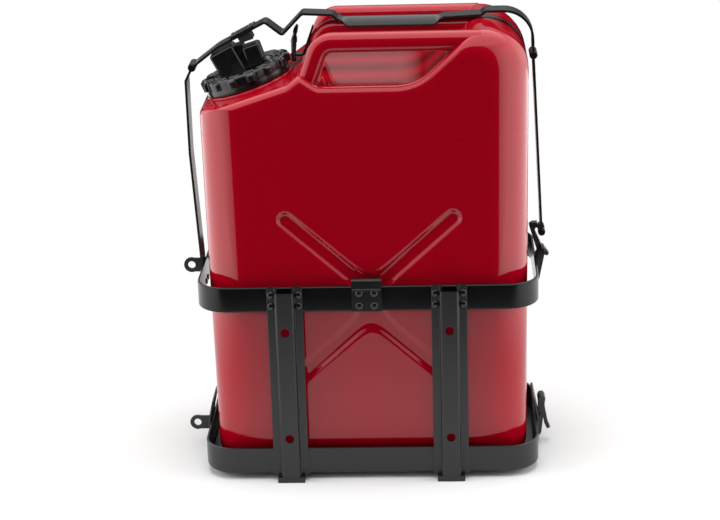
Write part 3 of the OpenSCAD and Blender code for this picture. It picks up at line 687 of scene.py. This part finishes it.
def can_half(name, node, back):
    """One pressed half, from its face round its edges to the sunken seam."""
    levels = [SIDE_EDGE_R * (1 - math.cos(a)) for a in turns(math.pi / 2, EDGE_STEPS)]
    rings = [[(x, s - HALF_DEPTH, z) for x, z in can_ring(s)] for s in levels]
    for y, share in SEAM_FORM:
        rings.append([(x, y, z) for x, z in can_ring(SIDE_EDGE_R, SEAM_SINK * share)])
    verts, faces = lofted(rings, "open")
    outline = [np.array([x, z]) for x, _, z in rings[0]]
    count = len(outline)
    flat = [Vector(p) for p in (*outline, *face_points(outline))]
    made, _, tris, origin, _, _ = delaunay_2d_cdt(flat, [], [list(range(count))], INSIDE_ONLY, SAME_POINT)
    sink = cross_sink(np.array([tuple(p) for p in made]))
    index = {}
    for i, p in enumerate(made):
        if origin[i] and origin[i][0] < count:
            index[i] = origin[i][0]
        else:
            index[i] = len(verts)
            verts.append((p[0], sink[i] - HALF_DEPTH, p[1]))
    faces += [tuple(index[i] for i in tri) for tri in tris]
    piece = new_piece(name, verts, faces, FINISH[RED])
    raise_crease(piece)
    if back:
        piece.data.transform(Matrix.Scale(-1, 4, (0, 1, 0)))
        piece.data.flip_normals()
    wall = piece.modifiers.new("wall", "SOLIDIFY")
    wall.thickness = WALL * MM
    wall.offset = -1
    where = shift(NECK[0], 0, NECK[1]) @ Matrix.Rotation(-SLOPE_TILT, 4, "Y")
    drill_hole(piece, NECK_HOLE_R, NECK_DRILL, where, TURN_STEPS)
    shade(piece.data)
    return settle(piece, ROOT, RED, node)


def raise_crease(piece):
    """Lifts the crease's middle row, faintly across the face and fully at the sides."""
    with edited(piece.data) as work:
        work.normal_update()
        ridge = [v for v in work.verts
                 if abs(v.co.z - CREASE_Z * MM) < CREASE_NEAR * MM and v.co.y < CREASE_BACK * MM]
        for v, normal in [(v, v.normal.copy()) for v in ridge]:
            x = v.co.x / MM
            full = clamp(max((x - CREASE_RIGHT) / CREASE_RIGHT_FADE, (-x - CREASE_LEFT) / CREASE_LEFT_FADE))
            v.co += normal * CREASE_RISE * (CREASE_FAINT + (1 - CREASE_FAINT) * full) * MM


can_half("can_front_half", "front_shell", False)
can_half("can_rear_half", "rear_shell", True)

HANDLE_PROFILE = rounded_rect(HANDLE / 2, HANDLE / 2, HANDLE_EDGE_R, steps=8)
POST_HEAD = POST_FOOT + POST_DIR * (RAIL_Z - POST_FOOT[1]) / POST_DIR[1]
RAIL_END = np.array([SHOULDER[0] + RAIL_SUNK, RAIL_Z])
HANDLE_PATH = round_path([POST_FOOT - POST_DIR * POST_SUNK, POST_HEAD, RAIL_END], [0, HANDLE_BEND_R, 0])
for node, y in HANDLE_ROWS.items():
    settle(swept(node + "_bar", HANDLE_PATH, HANDLE_PROFILE, y, FINISH[RED]), ROOT, RED, node)


# Filler and cap, made about the filler's axis

def on_neck(u, y, n):
    """A point from its places along the slope, along Y and out from the slope."""
    return (NECK[0] + u * SLOPE_DIR[0] - n * SLOPE_DIR[1], y, NECK[1] + u * SLOPE_DIR[1] + n * SLOPE_DIR[0])


def turned(name, profile, finish, steps=TURN_STEPS, wave=None):
    """A closed profile of radius and height turned about the filler's axis."""
    rings = []
    for a in turns(2 * math.pi, steps)[:-1]:
        spots = [wave(r, n, a) for r, n in profile] if wave else profile
        rings.append([on_neck(r * math.cos(a), r * math.sin(a), n) for r, n in spots])
    return outward(new_piece(name, *lofted(rings, "joined"), finish))


NECK_PROFILE = [
    (31.5, -12), (34, -12), (34, -1.5), (47.2, -1.5), (47.2, 0.2), (46.8, 0.8), (46.2, 1.1), (44.6, 1.1),
    (43.9, 1.4), (43.3, 2.2), (42.4, 2.8), (41.4, 3.5), (39.4, 3.5), (39.2, 4.6), (38.6, 5), (34.4, 5),
    (34, 5.4), (34, 6), (37.3, 6.1), (37.6, 6.5), (37.3, 6.9), (34, 7), (34, 8.4), (37.3, 8.5),
    (37.6, 8.9), (37.3, 9.3), (34, 9.4), (34, 10.2), (33.7, 10.5), (31.8, 10.5), (31.5, 10.2),
]
settle(turned("filler_collar", NECK_PROFILE, FINISH[RED]), ROOT, RED, "filler_neck")

settle(carried_over("cap_seal", "cap_gasket", FINISH[RUBBER], 0.2), ROOT, RUBBER, "cap_gasket")

# The screw ring. A flank is where a lobe or rib starts on the wave round the ring, and its width.
RING_PROFILE = [
    (38.6, 5.5), (44, 5.4), (44.7, 4.8), (44.8, 2.2), (45.3, 1.8), (45.9, 2), (46.1, 2.6), (45.7, 6.4),
    (45.3, 7.4), (45.1, 8.4), (45.1, 9), (45.2, 15.4), (45, 16.6), (44.2, 17.6), (42.8, 18.2), (41.5, 18.4),
    (39.5, 18.2), (37, 17.9), (34.5, 17.9), (32.6, 18), (32, 17.6), (32, 16), (38.2, 15.9), (38.4, 15.6),
]
LOBES = 14
LOBE_STEPS = 24
LOBE_FLANK = (0.15, 0.45)
LOBE_OUT = 4.2
LOBE_LOW, LOBE_TOP = 8.5, 16
SKIRT_R = 44.9
BROW_R, BROW_FROM, BROW_FLARE = 43, 41, 0.8
TOP_RIB_R = (33.5, 42)
TOP_RIB_FROM, TOP_RIB_H = 17, 2.3
TOP_RIB_FLANK = (0.35, 0.4)


def ring_wave(r, n, a):
    """Lobes round the skirt and ribs across the top of the screw ring."""
    start, width = LOBE_FLANK
    lobe = soft_step(clamp((math.cos(LOBES * a) - start) / width))
    if r > SKIRT_R and LOBE_LOW < n < LOBE_TOP:
        return r + LOBE_OUT * lobe, n
    if r > BROW_R and n >= LOBE_TOP:
        return r + (r - BROW_FROM) * BROW_FLARE * lobe, n
    if TOP_RIB_R[0] < r < TOP_RIB_R[1] and n > TOP_RIB_FROM:
        start, width = TOP_RIB_FLANK
        rib = clamp((math.cos(LOBES * a + math.pi) - start) / width)
        return r, n - TOP_RIB_H + TOP_RIB_H * rib
    return r, n


settle(turned("screw_ring", RING_PROFILE, FINISH[PLASTIC], LOBES * LOBE_STEPS, ring_wave),
       "cap_ring", PLASTIC, "cap_ring")

# The closing disc. A grip block has ends along the slope, half a width, ends in height and an ease.
DISC_PROFILE = [
    (0.01, 12.5), (35.3, 12.5), (35.5, 12.8), (35.5, 15.2), (35.2, 15.5), (31.4, 15.5), (31.1, 15.8),
    (31, 16.9), (30.6, 17.3), (28.9, 17.3), (28.5, 16.9), (28.4, 15.9), (28, 15.5), (0.01, 15.5),
]
GRIP_EDGE, GRIP_TOP = -2.2, 45.5
GRIP_LEAN = math.radians(9.5)
GRIP_BLOCKS = {
    "left_grip": ((-29.7, GRIP_EDGE), 13, (12.6, GRIP_TOP), 2.8),
    "right_grip": ((5.5, 24), 11, (14.5, 38.5), 3.0),
    "grip_web": ((-4, 8), 9, (14.5, 42.6), 0.8),
}


def grip_block(name, ends, half_y, heights, ease):
    (u0, u1), (n0, n1) = ends, heights
    corners = [(u, y, n) for n in (n0, n1)
               for u, y in ((u0, -half_y), (u1, -half_y), (u1, half_y), (u0, half_y))]
    faces = [(0, 3, 2, 1), (4, 5, 6, 7), (0, 1, 5, 4), (1, 2, 6, 5), (2, 3, 7, 6), (3, 0, 4, 7)]
    block = outward(new_piece(name, [on_neck(*c) for c in corners], faces, FINISH[PLASTIC]))
    return eased(block, ease, segments=3)


def closing_disc():
    """The disc with its grip: two blocks, of which the left one leans, and a web."""
    blocks = {name: grip_block(name, *form) for name, form in GRIP_BLOCKS.items()}
    tip = shift(*on_neck(GRIP_EDGE, 0, GRIP_TOP))
    blocks["left_grip"].data.transform(tip @ Matrix.Rotation(-GRIP_LEAN, 4, "Y") @ tip.inverted())
    return joined("closing_disc", [turned("disc", DISC_PROFILE, FINISH[PLASTIC]), *blocks.values()])


settle(closing_disc(), ROOT, PLASTIC, "cap_insert")

# The tether. The tail's form is shares of its height with half a thickness and half a width.
TAIL_SEAT = POST_FOOT + left_of(POST_DIR) * (HANDLE + 2) / 2
TAIL_ROOT = np.array([-7.2, 3.0])
TAIL_LEFT = 3.0
TAIL_H = 30.0
TAIL_LEAN = 3.0
TAIL_CURL = 1.6
TAIL_CLEAR, TAIL_FADE = 2, 3
TAIL_FORM = [
    (-0.3, 2.7, 6.0), (-0.12, 2.7, 6.0), (0.0, 2.6, 5.4), (0.1, 2.7, 5.4), (0.22, 3.0, 5.6), (0.3, 2.8, 5.0),
    (0.38, 3.5, 5.4), (0.5, 3.1, 5.0), (0.58, 2.3, 4.4), (0.64, 2.0, 4.0), (0.7, 2.6, 4.4), (0.8, 2.4, 3.8),
    (0.9, 1.6, 2.6), (0.98, 0.6, 1.0),
]


def cap_keeper():
    """The tether, with its tail moved toward the cap."""
    piece = carried_over("cap_keeper", "cap_tether", FINISH[PLASTIC], 0.5)
    for v in piece.data.vertices:
        share = clamp((TAIL_SEAT[0] - TAIL_CLEAR - v.co.x / MM) / TAIL_FADE)
        up = clamp((v.co.z / MM - TAIL_SEAT[1]) / TAIL_H)
        v.co.x += share * (TAIL_LEAN * up * up - TAIL_LEFT) * MM
    piece.data.update()
    return piece


settle(cap_keeper(), ROOT, PLASTIC, "cap_tether")


def tether_tail():
    """The tether's loose end: a pointed leaf with a waist."""
    low = TAIL_SEAT + TAIL_ROOT - [TAIL_LEFT, 0]
    rings = []
    for share, half_x, half_y in TAIL_FORM:
        x, z = low + [(TAIL_CURL + TAIL_LEAN) * share * share, TAIL_H * share]
        rings.append([(x + half_x * math.cos(a), half_y * math.sin(a), z)
                      for a in turns(2 * math.pi, steps=20)[:-1]])
    return outward(new_piece("tether_tail", *lofted(rings), FINISH[PLASTIC], smooth_angle=50))


tail = tether_tail()
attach(tail, ROOT)


# Rivets and welds, set on points by one node tree

def dome_tree():
    """Flattened domes on points, each with its own direction and share of the size."""
    group = bpy.data.node_groups.new("domes_on_points", "GeometryNodeTree")
    group.interface.new_socket("Geometry", in_out="INPUT", socket_type="NodeSocketGeometry")
    names = {}
    for name, kind in (("Radius", "Float"), ("Height", "Float"), ("Finish", "Material")):
        made = group.interface.new_socket(name, in_out="INPUT", socket_type="NodeSocket" + kind)
        names[name] = made.identifier
    group.interface.new_socket("Geometry", in_out="OUTPUT", socket_type="NodeSocketGeometry")
    t = Tree(group)
    points, radius, height, finish = t.outs(t.node("NodeGroupInput"))[:4]
    ball = t.node("GeometryNodeMeshUVSphere", None, {"Segments": 20, "Rings": 12, "Radius": 1.0})
    squash = t.node("ShaderNodeCombineXYZ", None, {0: radius, 1: radius, 2: height})
    dome = t.node("GeometryNodeTransform", None, {"Geometry": ball, "Scale": squash})
    way = t.node("GeometryNodeInputNamedAttribute", {"data_type": "FLOAT_VECTOR"}, {"Name": "way"})
    share = t.node("GeometryNodeInputNamedAttribute", {"data_type": "FLOAT"}, {"Name": "share"})
    turn = t.node("FunctionNodeAlignRotationToVector", {"axis": "Z"}, {"Vector": way})
    domes = t.node("GeometryNodeInstanceOnPoints", None,
                   {"Points": points, "Instance": dome, "Rotation": turn, "Scale": share})
    whole = t.node("GeometryNodeRealizeInstances", None, {"Geometry": domes})
    dressed = t.node("GeometryNodeSetMaterial", None, {"Geometry": whole, "Material": finish})
    t.node("NodeGroupOutput", None, {0: dressed})
    return group, names


DOMES, DOME_INPUT = dome_tree()


def domes(name, seats, radius, height, finish):
    """Domes at seats, each a place, a direction and a share of the full size."""
    mesh = bpy.data.meshes.new(name)
    mesh.from_pydata([tuple(c * MM for c in place) for place, _, _ in seats], [], [])
    ways = [c for _, way, _ in seats for c in way]
    shares = [share for _, _, share in seats]
    mesh.attributes.new("way", "FLOAT_VECTOR", "POINT").data.foreach_set("vector", ways)
    mesh.attributes.new("share", "FLOAT", "POINT").data.foreach_set("value", shares)
    piece = placed(name, mesh)
    grow = piece.modifiers.new("domes", "NODES")
    grow.node_group = DOMES
    grow[DOME_INPUT["Radius"]] = radius * MM
    grow[DOME_INPUT["Height"]] = height * MM
    grow[DOME_INPUT["Finish"]] = finish
    set_in(piece)
    for extra in ("way", "share"):
        piece.data.attributes.remove(piece.data.attributes[extra])
    shade(piece.data, angle=60)
    return piece


RIVET_R, RIVET_H, RIVET_TAIL = 4.2, 1.9, 0.72
JOINT_RIVETS = [(x, z) for x in (-7.75, 7.75) for z in (196.9, 210.6)]
UPRIGHT_RIVETS = [(x + e, z) for x in (-UPRIGHT_X, UPRIGHT_X)
                  for e in (-14.25, 14.25) for z in (197.7, 209.8)]


def rivets(name, places):
    """Rivets through the band's front, each with a head and a smaller tail behind."""
    seats = [((x, BAND_FRONT, z), (0, -1, 0), 1.0) for x, z in places]
    seats += [((x, BAND_BACK, z), (0, 1, 0), RIVET_TAIL) for x, z in places]
    return domes(name, seats, RIVET_R, RIVET_H, FINISH[STEEL])


settle(rivets("joint_rivet_heads", JOINT_RIVETS), ROOT, STEEL, "band_joint_rivets")
settle(rivets("upright_rivet_heads", UPRIGHT_RIVETS), ROOT, STEEL, "upright_rivets")

WELD_R, WELD_H = 1.9, 1.3
WELD_BEADS = 15
WELD_LOW, WELD_STEP = 9.0, 1.55
WELD_OUT, WELD_WANDER = 18.6, 0.2
WELD_Y = -94.2
WELD_WAY = (0.5, -0.86, 0.1)
WELD_SHARES = (0.85, 1.12)


def weld_seats():
    """Seats of the weld beads up both edges of each upright at the tray's wall."""
    chance = random.Random(5)
    seats = []
    for x in (-UPRIGHT_X, UPRIGHT_X):
        for e in (-1, 1):
            for k in range(WELD_BEADS):
                out = e * WELD_OUT + chance.uniform(-WELD_WANDER, WELD_WANDER)
                seats.append(((x + out, WELD_Y, WELD_LOW + WELD_STEP * k),
                              (e * WELD_WAY[0], *WELD_WAY[1:]), chance.uniform(*WELD_SHARES)))
    return seats


welds = domes("upright_weld_beads", weld_seats(), WELD_R, WELD_H, FINISH[COAT])
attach(welds, ROOT)


# Tray, band and uprights, bent from sheet

def carrier_ring(grow, z):
    outline = rounded_rect(CARRIER_HALF_W + grow, CARRIER_HALF_D + grow, CARRIER_R + grow, steps=20)
    return [(x, y, z) for x, y in outline]


def pressed_tray():
    """A pan with a rounded lower edge, a wall and an eased rim."""
    bend = turns(math.pi / 2, steps=7)
    r = TRAY_BEND - SHEET
    form = [(TRAY_BEND * (math.sin(a) - 1), TRAY_LOW + TRAY_BEND * (1 - math.cos(a))) for a in bend]
    form += [(-a, TRAY_TOP - b) for a, b in TRAY_RIM]
    form += [(a - SHEET, TRAY_TOP - b) for a, b in reversed(TRAY_RIM)]
    form += [(-SHEET - r * (1 - math.cos(a)), TRAY_LOW + SHEET + r * (1 - math.sin(a))) for a in bend]
    rings = [carrier_ring(grow, z) for grow, z in form]
    return even_normals(outward(new_piece("carrier_tray", *lofted(rings), FINISH[COAT])), SMOOTH_ANGLE)


settle(pressed_tray(), ROOT, COAT, "tray")


def waist_band():
    """A flat ring with rounded outer edges."""
    bend = turns(math.pi / 2, steps=6)
    r = BAND_EDGE_R
    form = [(r * (math.sin(a) - 1), BAND_LOW + r * (1 - math.cos(a))) for a in bend]
    form += [(r * (math.cos(a) - 1), BAND_TOP - r * (1 - math.sin(a))) for a in bend]
    form += [(-SHEET, BAND_TOP - BAND_INNER_EASE), (-SHEET, BAND_LOW + BAND_INNER_EASE)]
    rings = [carrier_ring(grow, z) for grow, z in form]
    piece = new_piece("waist_band", *lofted(rings, "joined"), BAND_FINISH)
    return even_normals(outward(piece), smooth_angle=40)


settle(waist_band(), ROOT, COAT, "band")

UPRIGHT_DRILL = 10
NOTCH_W, NOTCH_D, NOTCH_OUT, NOTCH_OVER = 24, 12, 1.2, 5


def hat_outline(x):
    """An upright's section: two flanges and a rib, with the round bends of sheet."""
    back, front = -CARRIER_HALF_D, RIB_FRONT
    wide, rib, inner = UPRIGHT_HALF_W, RIB_HALF_W, RIB_HALF_W - SHEET
    half = [((inner, front + SHEET), 0.8), ((inner, back), 2.8), ((wide, back), 0.5),
            ((wide, back - SHEET), 0.5), ((rib, back - SHEET), 1.0), ((rib, front), 3.0)]
    corners = half + [((-px, py), r) for (px, py), r in reversed(half)]
    points = [np.array([x + px, py]) for (px, py), _ in corners]
    return [p for arc in corner_arcs(points, [r for _, r in corners], steps=6) for p in arc]


def bent_upright(name, x):
    """A hat-section upright with two holes, whose rib ends below its top."""
    outline = hat_outline(x)
    rings = [[(px, py, z) for px, py in outline] for z in (TRAY_LOW, UPRIGHT_TOP)]
    piece = outward(new_piece(name, *lofted(rings), FINISH[COAT]))
    for z in HOLE_Z:
        where = shift(x, RIB_FRONT, z) @ Matrix.Rotation(math.pi / 2, 4, "X")
        drill_hole(piece, HOLE_R, UPRIGHT_DRILL, where, steps=48)
    bpy.ops.mesh.primitive_cube_add(size=1)
    notch = bpy.context.object
    reach = UPRIGHT_TOP - RIB_TOP + NOTCH_OVER
    middle = shift(x, RIB_FRONT - NOTCH_OUT, RIB_TOP + reach / 2)
    notch.data.transform(middle @ Matrix.Diagonal((NOTCH_W * MM, NOTCH_D * MM, reach * MM, 1)))
    cut_away(piece, notch)
    return eased(piece, 0.5, angle=45, smooth_angle=SMOOTH_ANGLE)


settle(bent_upright("left_hat_upright", -UPRIGHT_X), ROOT, COAT, "left_upright")
settle(bent_upright("right_hat_upright", UPRIGHT_X), ROOT, COAT, "right_upright")


# Hold-down strap, from its left hinge to its right hinge

LEFT_HINGE, RIGHT_HINGE = np.array([-178.4, 431.5]), np.array([175.4, 438.0])
STRAP_HALF_W, STRAP_T = 12.0, 2.5
STRAP_Z = TOP_Z + 0.4 + STRAP_T / 2
STRAP_CREST = TOP_Z + 7.0
STRAP_POINTS = [np.array(p) for p in (
    LEFT_HINGE, PEAK + [-88, 15.4], PEAK + [-38, 40.9], PEAK + [-20.5, 27.1], PEAK + [0.6, 48.7],
    PEAK + [31.6, 47], (PEAK[0] + 36.6, STRAP_Z), (DECK_RIGHT[0] + 34, STRAP_Z),
    (SHOULDER[0] + 9.5, STRAP_CREST - 3.6), (SHOULDER[0] + 14.2, STRAP_CREST),
    (RIGHT_HINGE[0] - 1, STRAP_CREST), RIGHT_HINGE,
)]
STRAP_BEND_R = [0, 40, 4, 3, 5, 3, 3, 6, 4, 4, 30, 0]
KNUCKLE_REACH = 9.0
FORK_SPAN = 40
SADDLE_DROP = 9.0
SADDLE_RAMP = 11.0
SADDLE_FROM, SADDLE_TO = STRAP_POINTS[6][0] + 1.5, STRAP_POINTS[7][0] - 5
SADDLE_CURVE = 1.6
SADDLE_T = 1.3
SECTION_STEPS = 12


def strap_path():
    """The strap's middle line from hinge to hinge, with close steps at the saddle's ends."""
    path = round_path(STRAP_POINTS, STRAP_BEND_R, steps=10)
    path[0] = LEFT_HINGE + KNUCKLE_REACH * unit(path[1] - LEFT_HINGE)
    path[-1] = RIGHT_HINGE + KNUCKLE_REACH * unit(path[-2] - RIGHT_HINGE)
    ramp = np.linspace(0, SADDLE_RAMP, num=10)
    extra = [np.array([x, STRAP_Z]) for x in list(SADDLE_FROM + ramp) + list(SADDLE_TO - ramp[::-1])]
    return [q for q in path if q[0] < SADDLE_FROM] + extra + [q for q in path if q[0] > SADDLE_TO]


def folded(x):
    """How far the strap's edges are folded down at a place along it."""
    return soft_step(clamp(min(x - SADDLE_FROM, SADDLE_TO - x) / SADDLE_RAMP))


def strap_section(fold):
    """The strap's section across the path and along Y: flat, or folded to a rounded roof."""
    top = []
    for k in range(-SECTION_STEPS, SECTION_STEPS + 1):
        y = STRAP_HALF_W * math.sin(math.pi / 2 * k / SECTION_STEPS)
        roof = (1 - (abs(y) / STRAP_HALF_W) ** SADDLE_CURVE) ** (1 / SADDLE_CURVE)
        top.append((STRAP_T / 2 - fold * SADDLE_DROP * (1 - roof), y))
    thick = STRAP_T + fold * (SADDLE_T - STRAP_T)
    low = []
    for k, (h, y) in enumerate(top):
        before, after = np.array(top[max(k - 1, 0)]), np.array(top[min(k + 1, len(top) - 1)])
        along = unit(after - before)
        low.append((h - thick * along[1], y + thick * along[0]))
    return top + low[::-1]


def hinge_ends():
    """The strap's two hinge forks, cut off the CAD strap."""
    ends = []
    for hinge, toward in ((LEFT_HINGE, STRAP_POINTS[1]), (RIGHT_HINGE, STRAP_POINTS[-2])):
        piece = carried_over("strap_fork", "top_strap", STRAP_FINISH, 0.4)
        way = unit(toward - hinge)
        inward = np.array([-math.copysign(1, hinge[0]), 0])
        with edited(piece.data) as work:
            for place, normal in ((hinge + KNUCKLE_REACH * way, way), (hinge + FORK_SPAN * inward, inward)):
                bmesh.ops.bisect_plane(work, geom=[*work.verts, *work.edges, *work.faces],
                                       clear_outer=True, plane_co=(place[0] * MM, 0, place[1] * MM),
                                       plane_no=(normal[0], 0, normal[1]))
            bmesh.ops.holes_fill(work, edges=[e for e in work.edges if e.is_boundary])
        ends.append(piece)
    return ends


def bent_strap():
    """The strap with its saddle over the rails and a fork at each end."""
    rings = [[(q[0] + m[0] * h, y, q[1] + m[1] * h) for h, y in strap_section(folded(q[0]))]
             for q, m in mitred(strap_path())]
    band = even_normals(outward(new_piece("strap_band", *lofted(rings), STRAP_FINISH)), smooth_angle=40)
    return joined("hold_down_strap", [band] + hinge_ends())


settle(bent_strap(), "strap", COAT, "top_strap")


# The plate that joins the band's ends

JOINT_HALF_W = 15.5
JOINT_FOLD_Z = 214.6
JOINT_FOLD_R = 1.4
JOINT_FOLD_SUNK = 0.6


def band_joint():
    """The riveted plate, with the raised fold under its rolled top."""
    plate = carried_over("joint_plate", "band_joint_plate", JOINT_FINISH, 0.9)
    profile = [(JOINT_FOLD_R * math.cos(a), -JOINT_FOLD_R * math.sin(a)) for a in turns(math.pi, steps=8)]
    profile += [(-JOINT_FOLD_R, JOINT_FOLD_SUNK), (JOINT_FOLD_R, JOINT_FOLD_SUNK)]
    reach = JOINT_HALF_W - JOINT_FOLD_SUNK
    path = [np.array([-reach, JOINT_FOLD_Z]), np.array([reach, JOINT_FOLD_Z])]
    return joined("band_joint", [plate, swept("joint_fold", path, profile, BAND_FRONT, JOINT_FINISH)])


settle(band_joint(), ROOT, COAT, "band_joint_plate")


# Pieces that keep the CAD shape, with the ease of their edges

CARRIED = {
    "left_foot": ("left_skid", 0.8, ROOT, COAT),
    "right_foot": ("right_skid", 0.8, ROOT, COAT),
    "left_tray_guide": ("left_guide", 0.6, ROOT, COAT),
    "right_tray_guide": ("right_guide", 0.6, ROOT, COAT),
    "band_eye": ("upper_tie_eye", 0.5, ROOT, COAT),
    "tray_eye": ("lower_tie_eye", 0.5, ROOT, COAT),
    "left_stay": ("strap_stay", 0.5, ROOT, COAT),
    "stay_rivets": ("stay_rivet_pair", 0.3, ROOT, STEEL),
    "left_hinge_pin": ("stay_hinge_pin", 0.3, ROOT, STEEL),
    "strap_plate": ("pad_plate", 0.3, "strap", COAT),
    "strap_pad": ("cap_pad", 0.8, "strap", RUBBER),
    "pad_rivets": ("pad_rivet_pair", 0.3, "strap", STEEL),
    "right_hinge_pin": ("link_hinge_pin", 0.3, "strap", STEEL),
    "right_link": ("latch_link", 0.5, "link", COAT),
    "link_bolt": ("latch_bolt", 0.4, "link", STEEL),
    "latch_bracket": ("latch_mount", 0.5, ROOT, COAT),
    "latch_pin": ("latch_pivot_pin", 0.3, ROOT, STEEL),
    "latch_hook": ("latch_catch", 0.6, "latch_hook", COAT),
    "hook_bracket": ("tie_hook_mount", 0.5, ROOT, COAT),
    "hook_pin": ("tie_hook_pin", 0.3, ROOT, STEEL),
    "tray_hook": ("tie_hook", 0.7, "tray_hook", COAT),
}
STRAP_SHEETS = ("left_stay", "strap_plate", "right_link")
for node, (name, ease, body, slot) in CARRIED.items():
    finish = STRAP_FINISH if node in STRAP_SHEETS else FINISH[slot]
    settle(carried_over(name, node, finish, ease), body, slot, node)


# Floor, light and camera. Pairs are where a light begins and where it is full.

FLOOR_FRONT = -0.585
FLOOR_REACH = 1.6
FLOOR_FADE = (0.26, 0.46)
FLOOR_SIDE, FLOOR_SIDE_AT = 1.1, (0.36, 0.8)
PAPER = 0.6
WHITE = (1, 1, 1, 1)
GAP_LEFT = -0.66
GAP_RIGHT = 0.76
GAP_TOP = 0.56
GAP_EDGE = (0.85, 1.2)
GAP_LIGHT = 0.008
SIDE_LIGHT = 1.0
SIDE_EXTRA, SIDE_EXTRA_AT = 1.2, (0.5, 0.95)
TOP_LIGHT, TOP_LIGHT_AT = 2.0, (0.42, 0.66)
BACK_LIGHT, BACK_LIGHT_AT = 0.44, (0.08, 0.3)
BACK_SIDE_AT = (0.2, 0.5)
AMBIENT, AMBIENT_RISE = 0.36, 0.25
NOT_ZERO = 0.0001
SOFTBOXES = {
    "top_softbox": ((0, -0.1, 2.0), (0, 0, 0.3), (1.4, 1.4), 46),
    "left_softbox": ((-1.5, -0.35, 0.6), (0, 0, 0.25), (0.9, 1.2), 25),
    "right_softbox": ((1.5, -0.2, 0.6), (0, 0, 0.25), (0.9, 1.2), 25),
}


def pale_floor():
    """Paper that takes the object's shadow and glows plain white farther off."""
    size = FLOOR_REACH
    mesh = bpy.data.meshes.new("studio_floor")
    mesh.from_pydata([(-size, FLOOR_FRONT, 0), (size, FLOOR_FRONT, 0), (size, size, 0), (-size, size, 0)],
                     [], [(0, 1, 2, 3)])
    material, t = new_finish("studio_floor")
    place = t.place()
    far = t.node("ShaderNodeVectorMath", {"operation": "LENGTH"}, {0: place}, out="Value")
    fade = t.smooth(far, *FLOOR_FADE)
    paper = t.node("ShaderNodeBsdfDiffuse", None, {"Color": (PAPER, PAPER, PAPER, 1)})
    across = t.node("ShaderNodeSeparateXYZ", None, {0: place})
    seen = t.node("ShaderNodeLightPath", out="Is Camera Ray")
    side_light = 1 + FLOOR_SIDE * (1 - seen) * t.smooth(abs(across), *FLOOR_SIDE_AT)
    white = t.node("ShaderNodeEmission", None, {"Color": WHITE, "Strength": side_light})
    mix = t.node("ShaderNodeMixShader", None, {0: fade, 1: paper, 2: white})
    t.node("ShaderNodeOutputMaterial", None, {"Surface": mix})
    mesh.materials.append(material)
    floor = placed("studio_floor", mesh)


def studio_world():
    """White panels at the sides and above, with a dark gap where the camera stands."""
    world = bpy.data.worlds.new("studio")
    bpy.context.scene.world = world
    world.use_nodes = True
    t = Tree(world.node_tree)
    way = t.node("ShaderNodeTexCoord", out="Generated")
    x, y, z = t.outs(t.node("ShaderNodeSeparateXYZ", None, {0: way}))
    camera = t.node("ShaderNodeLightPath", out="Is Camera Ray")
    glossy = t.node("ShaderNodeLightPath", out="Is Glossy Ray")
    front = y < 0
    behind = 1 - front
    right = x / (abs(y) + NOT_ZERO)
    across = abs(right - (GAP_RIGHT + GAP_LEFT) / 2) / ((GAP_RIGHT - GAP_LEFT) / 2)
    height = z.larger(0.0) / GAP_TOP
    panel = t.smooth(across ** 3 + height ** 3, *GAP_EDGE)
    side_light = SIDE_LIGHT + SIDE_EXTRA * t.smooth(abs(x), *SIDE_EXTRA_AT)
    top_light = TOP_LIGHT * t.smooth(z, *TOP_LIGHT_AT)
    back_side = side_light * t.smooth(abs(x), *BACK_SIDE_AT)
    back_light = back_side.larger(top_light + BACK_LIGHT * t.smooth(z, *BACK_LIGHT_AT))
    front_light = panel * side_light.larger(top_light)
    tent = GAP_LIGHT + front * front_light + behind * back_light
    diffuse = AMBIENT + AMBIENT_RISE * z
    strength = camera + (1 - camera) * (glossy * tent + (1 - glossy) * diffuse)
    sky = t.node("ShaderNodeBackground", None, {"Color": WHITE, "Strength": strength})
    t.node("ShaderNodeOutputWorld", None, {"Surface": sky})


def soft_lamp(name, at, aim, size, energy):
    """A soft lamp that isn't mirrored in the paint."""
    lamp = bpy.data.lights.new(name, "AREA")
    lamp.shape = "RECTANGLE"
    lamp.size, lamp.size_y = size
    lamp.energy = energy
    holder = placed(name, lamp)
    holder.location = at
    holder.rotation_euler = (Vector(aim) - Vector(at)).to_track_quat("-Z", "Y").to_euler()
    holder.visible_glossy = False


def photo_camera():
    """The camera that was fitted to the photo."""
    place = (0.08276, -1.98281, 0.89936)
    yaw, pitch, roll = -0.0468, 0.3325, 0.030
    ahead = Vector((math.sin(yaw) * math.cos(pitch), math.cos(yaw) * math.cos(pitch), -math.sin(pitch)))
    right = Vector((math.cos(yaw), -math.sin(yaw), 0))
    above = right.cross(ahead)
    across = math.cos(roll) * right - math.sin(roll) * above
    upward = math.sin(roll) * right + math.cos(roll) * above
    data = bpy.data.cameras.new("photo_camera")
    data.lens = 97.6
    data.sensor_width = 36
    data.sensor_fit = "HORIZONTAL"
    data.clip_end = 20
    camera = placed("photo_camera", data)
    turn = Matrix((across, upward, -ahead)).transposed()
    camera.matrix_world = Matrix.Translation(place) @ turn.to_4x4()
    bpy.context.scene.camera = camera


pale_floor()
studio_world()
for name, setting in SOFTBOXES.items():
    soft_lamp(name, *setting)
photo_camera()
bpy.context.scene.view_settings.view_transform = "Standard"
